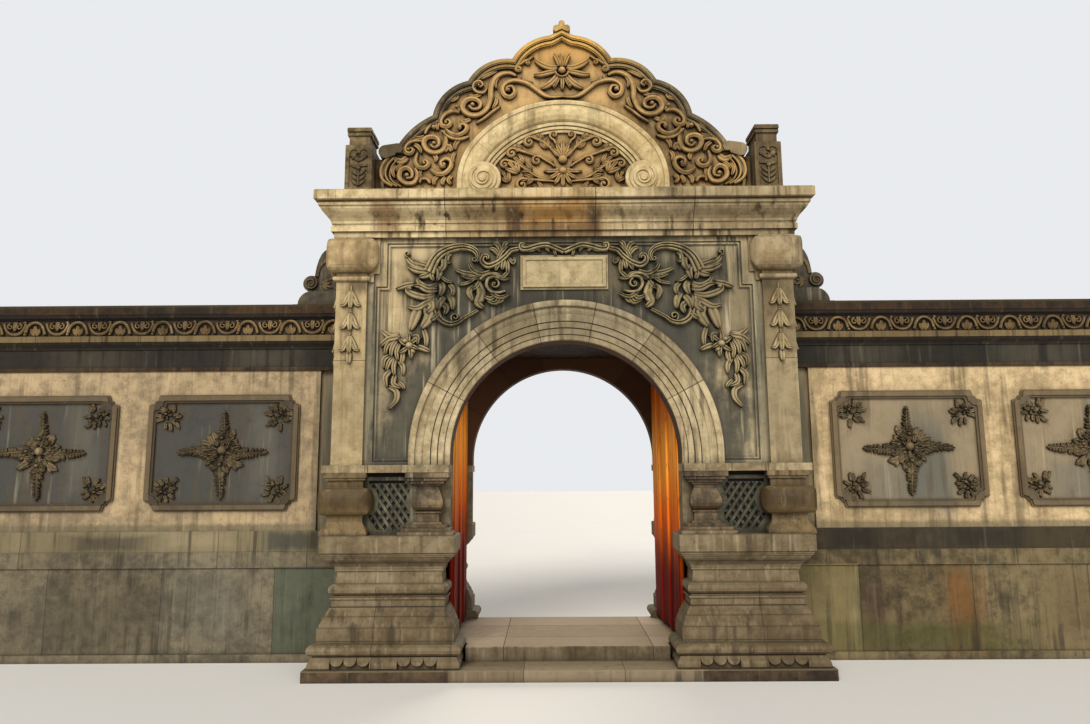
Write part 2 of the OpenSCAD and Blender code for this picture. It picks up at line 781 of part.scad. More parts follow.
// Plastered field with a framed panel in each bay and a sunk strip beside the gate
module right_wall_field() {
    face = wall_t / 2;
    strip_w = 328;
    strip_back = 36;
    rings = [[0, 20], [14, 38], [58, 24], [80, 0]];
    color("tan") {
        translate([side_x, -face + strip_back, dado_h])
            cube([wall_x1 - side_x, wall_t - 2 * strip_back, field_h]);
        translate([side_x + strip_w, -face, dado_h])
            cube([wall_x1 - side_x - strip_w, wall_t, field_h]);
        for (i = [0:bays - 1], sy = [0, 1], r = [0:2]) mirror([0, sy, 0])
            across(-face - rings[r][1], -face)
                translate([side_x + wall_margin + (i + 0.5) * bay_w, dado_h + field_h / 2 - 24])
                    difference() {
                        panel_shape(rings[r][0]);
                        panel_shape(rings[r + 1][0]);
                    }
    }
}

module right_wall_coping() {
    prof = concat(stretched(concat(fillet(15, 0, 40), fillet(2, 42, 228), cyma(14, 230, 52, 304),
        fillet(60, 306, 368), fillet(44, 370, 536), fillet(56, 538, 545)), wall_frieze_h / 545),
        ovolo(60, wall_frieze_h + 2, 84, wall_frieze_h + 42),
        [[92, wall_frieze_h + 44], [92, wall_frieze_h + coping_h - 30],
            [60, wall_frieze_h + coping_h]]);
    color("gray") translate([0, 0, frieze_z]) along(side_x, wall_x1) wall_section(prof);
}

// Scrolled bracket that stands on the garden wall against the gate's side
module right_console() {
    depth = 190;
    step_h = 88;
    curl = 88;
    seat_h = cornice_z - wall_top - 2 * step_h;
    rise = seat_h + 88;
    foot_x = 500;
    top_x = 330;
    foot_r = 2 * step_h - 26;
    color("dimgray") translate([side_x, 0, wall_top]) {
        across(-depth - 64, depth + 64) square([670, 26]);
        across(-depth - 34, depth + 34) translate([0, 26]) polygon(concat([[0, 0]],
            [for (i = [0:ROUND]) let (a = 90 * i / ROUND)
                [630 - foot_r + foot_r * cos(a), foot_r * sin(a)]], [[0, foot_r]]));
        across(-depth, depth) translate([0, 2 * step_h]) {
            translate([foot_x, curl]) circle(r = curl, $fn = SMOOTH);
            polygon(concat([[0, 0], [foot_x, 0]], [for (i = [0:ROUND]) let (a = 90 * i / ROUND)
                [top_x + (foot_x - 30 - top_x) * cos(a), 70 + (rise - 70) * sin(a)]],
                [[140, rise], [140, seat_h], [0, seat_h]]));
        }
        across(-depth - 16, depth + 16) translate([foot_x, 2 * step_h + curl])
            circle(r = curl - 34, $fn = SMOOTH);
    }
}

module pivot_stone() {
    side = 2 * (pivot_side - 2);
    color("gray") translate([pivot_x, pivot_y, floor_z]) difference() {
        translate([-side / 2, -side / 2, 0]) cube([side, side, leaf_lift - 10]);
        translate([0, 0, 5]) cylinder(h = leaf_lift, r = pin_r + pin_clear, $fn = SMOOTH);
    }
}

module pivot_stones() { pivot_stone(); left() pivot_stone(); }

// Leaf as it stands when fully open, its passage side towards the axis
module open_leaf() {
    z0 = floor_z + leaf_lift;
    leaf_h = ceiling_z - leaf_drop - z0;
    strip_w = 46;
    batten_h = 120;
    color("firebrick") {
        translate([0, 0, z0]) linear_extrude(leaf_h) {
            circle(r = heel_r, $fn = SMOOTH);
            translate([-leaf_t / 2, 0]) square([leaf_t, leaf_reach]);
            for (k = [0.34, 0.67])
                translate([-leaf_t / 2 - strip_t, k * leaf_reach - strip_w / 2])
                    square([strip_t + 1, strip_w]);
        }
        for (k = [0.14, 0.5, 0.86])
            translate([leaf_t / 2 - 1, 90, z0 + k * leaf_h - batten_h / 2])
                cube([batten_t + 1, leaf_reach - 150, batten_h]);
        translate([0, 0, floor_z + 8]) cylinder(h = leaf_lift, r = pin_r, $fn = SMOOTH);
        translate([0, 0, ceiling_z - leaf_drop - 1])
            cylinder(h = leaf_drop + 41, r = pin_r, $fn = SMOOTH);
    }
}

module right_leaf() {
    translate([pivot_x, pivot_y, 0]) rotate([0, 0, right_leaf_turn]) open_leaf();
}
module left_leaf() { left() translate([pivot_x, pivot_y, 0]) open_leaf(); }

base_slab();
passage_floor();
left() right_pedestal();  // left_pedestal
right_pedestal();
left() right_jamb_wall();  // left_jamb_wall
right_jamb_wall();
left() right_bulb_blocks();  // left_bulb_blocks
right_bulb_blocks();
left() right_balusters();  // left_balusters
right_balusters();
left() right_lattice_panels();  // left_lattice_panels
right_lattice_panels();
left() right_impost();  // left_impost
right_impost();
left() right_core_wall();  // left_core_wall
right_core_wall();
front_arch_ring();
rear_arch_ring();
left() front_right_spandrel();  // front_left_spandrel
front_right_spandrel();
left() rear_right_spandrel();  // rear_left_spandrel
rear_right_spandrel();
chamber_ceiling();
front_plaque();
left() right_pilasters();  // left_pilasters
right_pilasters();
left() right_capitals();  // left_capitals
right_capitals();
cornice();
pediment();
pediment_coping();
front_scroll_band();
rear_scroll_band();
finials();
left() right_corner_posts();  // left_corner_posts
right_corner_posts();
left() right_wall_dado();  // left_wall_dado
left() right_wall_field();  // left_wall_field
left() right_wall_coping();  // left_wall_coping
right_wall_dado();
right_wall_field();
right_wall_coping();
left() right_console();  // left_console
right_console();
pivot_stones();
left_leaf();
right_leaf();
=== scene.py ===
"""Looks of an arched stone gateway: stone finishes, carved work, plain studio and camera."""

import logging
import math
import random
from dataclasses import dataclass
from enum import Enum

import bmesh
import bpy
import numpy as np
from mathutils import Matrix, Vector


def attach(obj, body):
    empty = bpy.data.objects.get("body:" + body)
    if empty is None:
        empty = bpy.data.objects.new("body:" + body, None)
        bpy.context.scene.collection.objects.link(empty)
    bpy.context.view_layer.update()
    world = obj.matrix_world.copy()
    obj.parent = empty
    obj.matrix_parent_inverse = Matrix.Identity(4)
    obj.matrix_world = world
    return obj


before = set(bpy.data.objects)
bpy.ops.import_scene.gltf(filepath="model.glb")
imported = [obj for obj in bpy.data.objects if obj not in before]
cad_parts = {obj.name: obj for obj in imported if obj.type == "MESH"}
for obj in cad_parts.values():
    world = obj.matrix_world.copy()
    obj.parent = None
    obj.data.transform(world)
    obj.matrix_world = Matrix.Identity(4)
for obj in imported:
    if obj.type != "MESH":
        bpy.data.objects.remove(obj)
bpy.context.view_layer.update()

log = logging.getLogger("gateway")

Point = tuple[float, float]
Lobe = tuple[tuple[Point, ...], float]
Place = tuple[float, float, float]


def tone(code: str) -> tuple[float, ...]:
    """Turns a hex colour, red first, into linear light with an opaque alpha."""
    parts = [int(code[i : i + 2], 16) / 255 for i in (0, 2, 4)]
    return (*[p / 12.92 if p <= 0.04045 else ((p + 0.055) / 1.055) ** 2.4 for p in parts], 1.0)


# ---- Node trees


class Wire:
    """A node socket that does arithmetic by laying down maths nodes."""

    def __init__(self, tree: "Tree", socket: bpy.types.NodeSocket) -> None:
        """Keeps the socket and the tree it belongs to."""
        self.tree = tree
        self.socket = socket

    def _sum(self, kind: str, *terms: object) -> "Wire":
        """Joins values through one maths node."""
        return self.tree.put("ShaderNodeMath", {"operation": kind}, dict(enumerate(terms)))

    def __add__(self, other: object) -> "Wire":
        """Adds."""
        return self._sum("ADD", self, other)

    __radd__ = __add__

    def __mul__(self, other: object) -> "Wire":
        """Multiplies."""
        return self._sum("MULTIPLY", self, other)

    __rmul__ = __mul__

    def __sub__(self, other: object) -> "Wire":
        """Takes the other value away."""
        return self._sum("SUBTRACT", self, other)

    def __rsub__(self, other: object) -> "Wire":
        """Takes this value away from the other."""
        return self._sum("SUBTRACT", other, self)

    def __truediv__(self, other: object) -> "Wire":
        """Divides by the other value."""
        return self._sum("DIVIDE", self, other)

    def __rtruediv__(self, other: object) -> "Wire":
        """Divides the other value by this one."""
        return self._sum("DIVIDE", other, self)

    def __gt__(self, other: object) -> "Wire":
        """Gives one where this value is the greater."""
        return self._sum("GREATER_THAN", self, other)

    def __abs__(self) -> "Wire":
        """Drops the sign."""
        return self._sum("ABSOLUTE", self)

    def near(self, value: object, reach: float) -> "Wire":
        """Gives one within reach of a value, and nothing elsewhere."""
        return self._sum("COMPARE", self, value, reach)

    def most(self, other: object) -> "Wire":
        """Gives the greater of the two."""
        return self._sum("MAXIMUM", self, other)

    def span(self, low: float, high: float, a: float = 0.0, b: float = 1.0) -> "Wire":
        """Carries low to high smoothly over to a to b and stops at both ends."""
        sockets = {0: self, 1: low, 2: high, 3: a, 4: b}
        return self.tree.put("ShaderNodeMapRange", {"interpolation_type": "SMOOTHSTEP"}, sockets)


class Tree:
    """A node tree under construction."""

    def __init__(self, tree: bpy.types.NodeTree) -> None:
        """Starts with the tree empty."""
        self.tree = tree
        tree.nodes.clear()

    def put(self, kind: str, settings: dict | None = None, values: dict | None = None, out: int | str = 0) -> Wire:
        """Lays down one node.

        Args:
            kind: node type.
            settings: node properties, set before its sockets.
            values: number, colour or wire by socket index or name.
            out: which output to give back.

        Returns:
            The chosen output as a wire.
        """
        node = self.tree.nodes.new(kind)
        for key, value in (settings or {}).items():
            setattr(node, key, value)
        for key, value in (values or {}).items():
            if isinstance(value, Wire):
                self.tree.links.new(value.socket, node.inputs[key])
            else:
                node.inputs[key].default_value = value
        return Wire(self, node.outputs[out] if len(node.outputs) else None)


class Paint(Tree):
    """A material under construction."""

    def __init__(self, name: str) -> None:
        """Starts an empty material with its object coordinates ready.

        Args:
            name: what it is called.
        """
        self.material = bpy.data.materials.new(name)
        self.material.use_nodes = True
        super().__init__(self.material.node_tree)
        self.place = self.put("ShaderNodeTexCoord", out="Object")
        self.x, self.y, self.z = (self.put("ShaderNodeSeparateXYZ", None, {0: self.place}, i) for i in range(3))
        self.colour: object = tone("ffffff")

    def noise(
        self, scale: float, detail: float, stretch: Place = (1, 1, 1), shift: float = 0.0, rough: float = 0.55
    ) -> Wire:
        """Lays down cloudy noise.

        Args:
            scale: clouds per metre.
            detail: how many finer layers.
            stretch: factor on each axis before the noise.
            shift: moves the pattern so that two finishes differ.
            rough: weight of the finer layers.

        Returns:
            A value around one half.
        """
        values = {"Vector": self.place, "Location": (shift,) * 3, "Scale": stretch}
        spot = self.put("ShaderNodeMapping", None, values)
        values = {"Vector": spot, "Scale": scale, "Detail": detail, "Roughness": rough}
        return self.put("ShaderNodeTexNoise", None, values)

    def random(self, index: object) -> Wire:
        """Gives a number of its own to each index."""
        return self.put("ShaderNodeTexWhiteNoise", {"noise_dimensions": "1D"}, {"W": index}, "Value")

    def mix(self, share: object, a: object, b: object, blend: str = "MIX") -> Wire:
        """Mixes two colours."""
        return self.put("ShaderNodeMix", {"data_type": "RGBA", "blend_type": blend}, {0: share, 6: a, 7: b}, 2)

    def over(self, share: object, code: str) -> None:
        """Lays a tone over the colour so far."""
        self.colour = self.mix(share, self.colour, tone(code))

    def dim(self, share: object, part: Wire, low: str) -> None:
        """Darkens the colour so far by a tone where a part from 0 to 1 is low."""
        self.colour = self.mix(share, self.colour, self.mix(part, tone(low), tone("ffffff")), "MULTIPLY")

    def done(self, rough: Wire, height: Wire, depth: float, shine: float = 0.3) -> bpy.types.Material:
        """Closes the material with its colour, roughness and relief.

        Args:
            rough: roughness.
            height: relief from 0 to 1.
            depth: metres that a relief of one stands for.
            shine: strength of the mirror-like part.

        Returns:
            The finished material.
        """
        bump = self.put("ShaderNodeBump", None, {"Height": height, "Distance": depth, "Strength": 1.0})
        values = {"Base Color": self.colour, "Roughness": rough, "Normal": bump, "Specular IOR Level": shine}
        self.put("ShaderNodeOutputMaterial", None, {"Surface": self.put("ShaderNodeBsdfPrincipled", None, values)})
        return self.material


# ---- Finishes


class Across(Enum):
    """The way in which a row of joints is counted."""

    X = "x"
    Y = "y"
    Z = "z"
    ARCH = "arch"


@dataclass(frozen=True)
class Joints:
    """Fine joints between stones, at places along one direction."""

    across: Across
    places: tuple[float, ...]
    low: float = -9.0
    high: float = 9.0
    half: float = 0.0028
    arch_z: float = 2.006
    arch_radius: float = 1.35

    def along(self, p: Paint) -> Wire:
        """Gives the way along the row, measured round the arch's centre for an arch.

        Args:
            p: the material.

        Returns:
            Metres along the row.
        """
        if self.across is not Across.ARCH:
            return {"x": p.x, "y": p.y, "z": p.z}[self.across.value]
        return p.put("ShaderNodeMath", {"operation": "ARCTAN2"}, {0: p.z - self.arch_z, 1: p.x}) * self.arch_radius

    def within(self, p: Paint) -> Wire:
        """Marks the part of the stone that the joints cross."""
        level = abs(p.x) if self.across is Across.Z else p.z
        return level.near((self.low + self.high) / 2, (self.high - self.low) / 2)


@dataclass(frozen=True)
class Patch:
    """A rectangle of the face, in x and z, that is coloured differently."""

    x: float
    z: float
    half_x: float
    half_z: float
    colour: str
    amount: float = 1.0
    soft: float = 0.0
    both: bool = False

    def share(self, p: Paint, mottle: Wire) -> Wire:
        """Gives how far the patch covers each place, ragged at its edge if it is a soft one.

        Args:
            p: the material.
            mottle: pattern of the stone, around one.

        Returns:
            A share from 0 to 1.
        """
        x = abs(p.x) if self.both else p.x
        if not self.soft:
            inside = x.near(self.x, self.half_x) * p.z.near(self.z, self.half_z)
            return inside * mottle.span(0.75, 1.15, 1.0, 0.88) * self.amount
        side = (abs(x - self.x) / self.half_x).most(abs(p.z - self.z) / self.half_z)
        ragged = side + p.noise(13, 4, (1, 1, 0.09), self.x) * 1.3 + mottle * 0.5 - 1.1
        return ragged.span(1 - self.soft, 1 + self.soft, 1.0, 0.0) * self.amount


@dataclass(frozen=True)
class StoneFinish:
    """Weathered stone: blotches, run-down streaks, grime with painted shade in its hollows and on faces that look
    down, moss and joints.
    """

    name: str
    light: str
    dark: str
    stain: str = "4c3f2c"
    streaks: float = 0.5
    tops: str = "5f5537"
    moss: float = 0.5
    # Weight of the grime and painted shade in hollows and on faces that look down.
    dirt: float = 0.7
    # Tone painted as shade on faces that look down; the stain is used where none is given.
    underside_shade: str = ""
    rough: float = 0.78
    pale: float = 0.35
    shift: float = 0.0
    joints: tuple[Joints, ...] = ()
    patches: tuple[Patch, ...] = ()
    # Tone painted as warm sunlight on the pediment's top.
    painted_sunlight: str = ""
    ring_stain: float = 0.0
    carved: bool = False
    depth: float = 0.0
    proud: str = ""
    # Tone painted as shade on faces set back nearer the middle than depth.
    sunk: str = ""
    relief: float = 0.006
    hollow_reach: float = 0.09

    def build(self) -> bpy.types.Material:
        """Makes the material.

        Returns:
            The material.
        """
        p = Paint(self.name)
        cloud = p.noise(1.1, 5, shift=self.shift)
        speck = p.noise(9, 7, shift=self.shift + 3, rough=0.7)
        grain = p.noise(150, 3, shift=self.shift)
        mottle = cloud + speck
        p.colour = p.mix((cloud * 0.8 + speck * 0.9 - 0.35).span(0.3, 0.7), tone(self.light), tone(self.dark))
        pits = p.noise(38, 4, shift=self.shift + 6, rough=0.6).span(0.56, 0.72) * speck.span(0.4, 0.6)
        p.over(pits * 0.45, self.stain)
        for patch in self.patches:
            p.over(patch.share(p, mottle), patch.colour)
        # Painted warm sunlight above z 5.88.
        if self.painted_sunlight:
            p.over(p.z.span(5.88, 6.32) * mottle.span(0.7, 1.15, 0.45, 1.0), self.painted_sunlight)
        if self.ring_stain:
            reach = p.put("ShaderNodeVectorMath", {"operation": "DISTANCE"}, {0: p.place, 1: (0, -0.8, 1.9)}, 1)
            near = reach + p.noise(5, 5, (1, 1, 0.35), self.shift + 2) * 1.1 - cloud * 0.9
            p.over(near.span(1.75, 2.15, self.ring_stain, 0.0), "3c3a31")
        self._weather(p, mottle)
        # Grime and painted shade: darkens the hollows that the occlusion finds.
        hollow = p.put("ShaderNodeAmbientOcclusion", {"samples": 4}, {"Distance": self.hollow_reach}, "AO")
        p.over((hollow + speck * 0.35).span(0.4, 1.08, 1.0, 0.0) * self.dirt, self.stain)
        # Painted shade: carving is darker where it sits low, near its ground.
        if self.carved:
            rise = p.put("ShaderNodeAttribute", {"attribute_name": "rise"}, out="Fac")
            p.dim(1.0, rise.span(0.0, 0.9), "857a67")
        # Painted shade on faces set back nearer the middle than depth.
        if self.sunk:
            p.over(1 - (abs(p.y) > self.depth), self.sunk)
        if self.proud:
            p.over((abs(p.y) > self.depth) * mottle.span(0.6, 1.2, 0.95, 0.7), self.proud)
        gap = self._joined(p)
        rough = (speck * 0.3 + self.rough - 0.12) + gap * 0.1
        height = speck * 0.6 + grain * 0.16 + cloud * 0.2 - pits * 0.3 - gap * 0.9
        return p.done(rough, height, self.relief)

    def _weather(self, p: Paint, mottle: Wire) -> None:
        """Adds run-downs, lime, moss on the tops, and painted shade on faces that look down, in the stain or in an
        underside tone of its own.

        Args:
            p: the material.
            mottle: pattern of the stone, around one.
        """
        runs = p.noise(11, 4, (1, 1, 0.06), self.shift + 5).span(0.5, 0.66) * p.noise(1.9, 3, shift=8).span(0.36, 0.58)
        p.over(runs * self.streaks, self.stain)
        p.over(p.noise(34, 3, (1, 1, 0.03), self.shift + 1).span(0.55, 0.7) * 0.4 * self.streaks, self.stain)
        p.over(p.noise(17, 3, (1, 1, 0.05), self.shift + 9).span(0.58, 0.76) * self.pale * self.streaks, "d9c9a4")
        facing = p.put("ShaderNodeSeparateXYZ", None, {0: p.put("ShaderNodeNewGeometry", out="Normal")}, 2)
        p.over(facing.span(0.35, 0.9) * mottle.span(0.7, 1.15, 0.4, 1.0) * self.moss, self.tops)
        # Painted shade on faces that look down, in its own tone where one is given and in the stain elsewhere.
        under = facing.span(-0.9, -0.1, 1.0, 0.0)
        p.over(under * (0.85 if self.underside_shade else 0.4 * self.dirt), self.underside_shade or self.stain)

    def _joined(self, p: Paint) -> Wire:
        """Draws the joints and gives each stone between them its own tone.

        Args:
            p: the material.

        Returns:
            A mask of the joints.
        """
        gap = p.noise(60, 2).span(0.74, 0.78, 0.0, 0.35)
        for row, joints in enumerate(self.joints):
            along = joints.along(p) + (p.noise(5, 2) - 0.5) * 0.003
            inside = joints.within(p)
            index: object = row * 3.7
            for place in joints.places:
                gap = gap.most(along.near(place, joints.half) * inside)
                index = (along > place) + index
            p.dim(inside * 0.6, p.random(index), "c3bbac")
        p.over(gap * 0.8, "2f281d")
        return gap


@dataclass(frozen=True)
class PlankFinish:
    """Red painted planks, with painted warm light turning them orange higher up, a painted gold highlight band,
    painted shade at the top, and worn along their edges.
    """

    name: str
    # The first of these two is the height where painted warm light begins, the second the middle of the painted
    # highlight band.
    lit_from: float = 1.45
    highlight_z: float = 2.55
    plank_width: float = 0.158
    foot_z: float = 0.25

    def build(self) -> bpy.types.Material:
        """Makes the material.

        Returns:
            The material.
        """
        p = Paint(self.name)
        grain = p.noise(16, 5, (1, 1, 0.04))
        fine = p.noise(120, 3, (1, 1, 0.03))
        cloud = p.noise(1.5, 4)
        red = p.mix(grain.span(0.35, 0.65), tone("76190b"), tone("480d06"))
        # Lit tones of the red paint, painted in as warm light and a gold highlight.
        orange = p.mix(grain.span(0.3, 0.7), tone("ec7818"), tone("b43c06"))
        highlight_gold = p.mix(grain.span(0.3, 0.7), tone("ffc04c"), tone("ea8216"))
        # Painted light: red turns orange higher up, with a painted gold highlight band.
        p.colour = p.mix((p.z + cloud * 0.5).span(self.lit_from, self.lit_from + 0.75), red, orange)
        lit = (abs(p.z + cloud * 0.6 - self.highlight_z) * -0.8 + grain * 0.8).span(-0.25, 0.4)
        p.colour = p.mix(lit * 0.9, p.colour, highlight_gold)
        # Painted shade at the top of the leaf.
        p.over((p.z + cloud * 0.3).span(2.85, 3.25), "6a2d12")
        plank = (p.y + 10) / self.plank_width
        part, index = (p.put("ShaderNodeMath", {"operation": kind}, {0: plank}) for kind in ("FRACT", "FLOOR"))
        p.dim(0.25, p.random(index), "b9aca4")
        worn = (p.noise(24, 5, (1, 1, 0.3), 4) + p.noise(3, 2, shift=2) * 0.4).span(0.8, 0.92)
        p.over(worn * 0.45, "4c2a18")
        p.over((p.z + cloud * 0.25).span(self.foot_z, self.foot_z + 0.37, 0.65, 0.0), "32130d")
        seam = abs(part - 0.5).span(0.478, 0.492)
        p.over(seam * 0.8, "240c07")
        rough = (grain * 0.3 + 0.42) + worn * 0.2
        return p.done(rough, grain * 0.25 + fine * 0.08 - seam * 0.4 - worn * 0.15, 0.003, 0.03)


# ---- Drawing


def traced(*rows: tuple[int, ...]) -> list[Lobe]:
    """Reads lines given in whole millimetres: width first, then across and up for each point."""
    return [(tuple((u / 1000, v / 1000) for u, v in zip(r[1::2], r[2::2])), r[0] / 1000) for r in rows]


def curve(points: tuple[Point, ...] | list[Point], steps: int = 8) -> np.ndarray:
    """Runs a smooth line through points.

    Args:
        points: places on the face.
        steps: samples from each point to the next.

    Returns:
        Samples, one row each.
    """
    p = np.array([points[0], *points, points[-1]], float)
    t = np.linspace(0, 1, steps, endpoint=False)[:, None]
    rows = []
    for a, b, c, d in zip(p[:-3], p[1:-2], p[2:-1], p[3:]):
        rows.append(0.5 * (2 * b + (c - a) * t + (2 * a - 5 * b + 4 * c - d) * t**2 + (3 * b - a - 3 * c + d) * t**3))
    return np.vstack([*rows, p[-1:]])


def spiral(centre: Point, radius: float, entry: float, turns: float, end: float = 0.2) -> np.ndarray:
    """Winds a line into a centre.

    Args:
        centre: where it ends.
        radius: how far out it starts.
        entry: angle in degrees at which it starts.
        turns: number of turns, anticlockwise when positive.
        end: share of the radius left at the end.

    Returns:
        Samples, one row each.
    """
    t = np.linspace(0, 1, max(14, int(abs(turns) * 22)))
    a = math.radians(entry) + 2 * math.pi * turns * t
    r = radius * (1 - (1 - end) * t**0.85)
    return np.column_stack([centre[0] + r * np.cos(a), centre[1] + r * np.sin(a)])


def polar(centre: Point, reach: float, angle: float) -> Point:
    """Gives the place at a distance from another, at an angle in degrees."""
    a = math.radians(angle)
    return centre[0] + reach * math.cos(a), centre[1] + reach * math.sin(a)


def spread(line: np.ndarray, shares: tuple[float, ...], values: tuple[float, ...]) -> np.ndarray:
    """Gives a value for each sample of a line, from values at shares of its length."""
    return np.interp(np.linspace(0, 1, len(line)), shares, values)


def square(line: np.ndarray) -> np.ndarray:
    """Gives the direction square to a line at each of its samples.

    Args:
        line: its samples.

    Returns:
        One direction for each sample, a metre long.
    """
    way = np.gradient(line, axis=0)
    way /= np.maximum(np.linalg.norm(way, axis=1), 1e-9)[:, None]
    return np.column_stack([-way[:, 1], way[:, 0]])


def tube(rings: int, around: int) -> list[list[int]]:
    """Gives the sides between rings of points that are listed one after another.

    Args:
        rings: how many rings.
        around: points on each.

    Returns:
        The corners of each side.
    """
    corners = ((0, 0), (0, 1), (1, 1), (1, 0))
    spots = [(i, j) for i in range(rings - 1) for j in range(around)]
    return [[(i + a) * around + (j + b) % around for a, b in corners] for i, j in spots]


class Section(Enum):
    """Profile of a carved stroke: place across it, and share of its height."""

    ROLL = ((-1, 0.12), (-0.8, 0.62), (-0.4, 0.93), (0, 1.0), (0.4, 0.93), (0.8, 0.62), (1, 0.12))
    STEM = (
        (-1, 0.1), (-0.88, 0.66), (-0.58, 0.95), (-0.2, 1.0), (0.22, 0.86), (0.44, 0.7), (0.62, 0.86), (0.85, 0.6),
        (1, 0.1),
    )
    LEAF = (
        (-1, 0.05), (-0.85, 0.55), (-0.5, 0.95), (-0.16, 0.78), (0, 0.62), (0.16, 0.78), (0.5, 0.95), (0.85, 0.55),
        (1, 0.05),
    )


@dataclass(frozen=True)
class Face:
    """A flat, upright face of stone on which carving stands."""

    origin: Place
    across: Place = (1, 0, 0)

    def lift(self, u: np.ndarray, v: np.ndarray, out: np.ndarray) -> np.ndarray:
        """Takes places across and up, and heights off the face, into the gateway's frame."""
        a, b = np.array(self.across, float), np.array((0.0, 0.0, 1.0))
        return np.array(self.origin) + np.outer(u, a) + np.outer(v, b) + np.outer(out, np.cross(a, b))


def both(y: float, z: float = 0.0) -> list[Face]:
    """Gives the front face and the rear face at depth y, with heights counted from z."""
    return [Face((0, -y, z)), Face((0, y, z), (-1, 0, 0))]


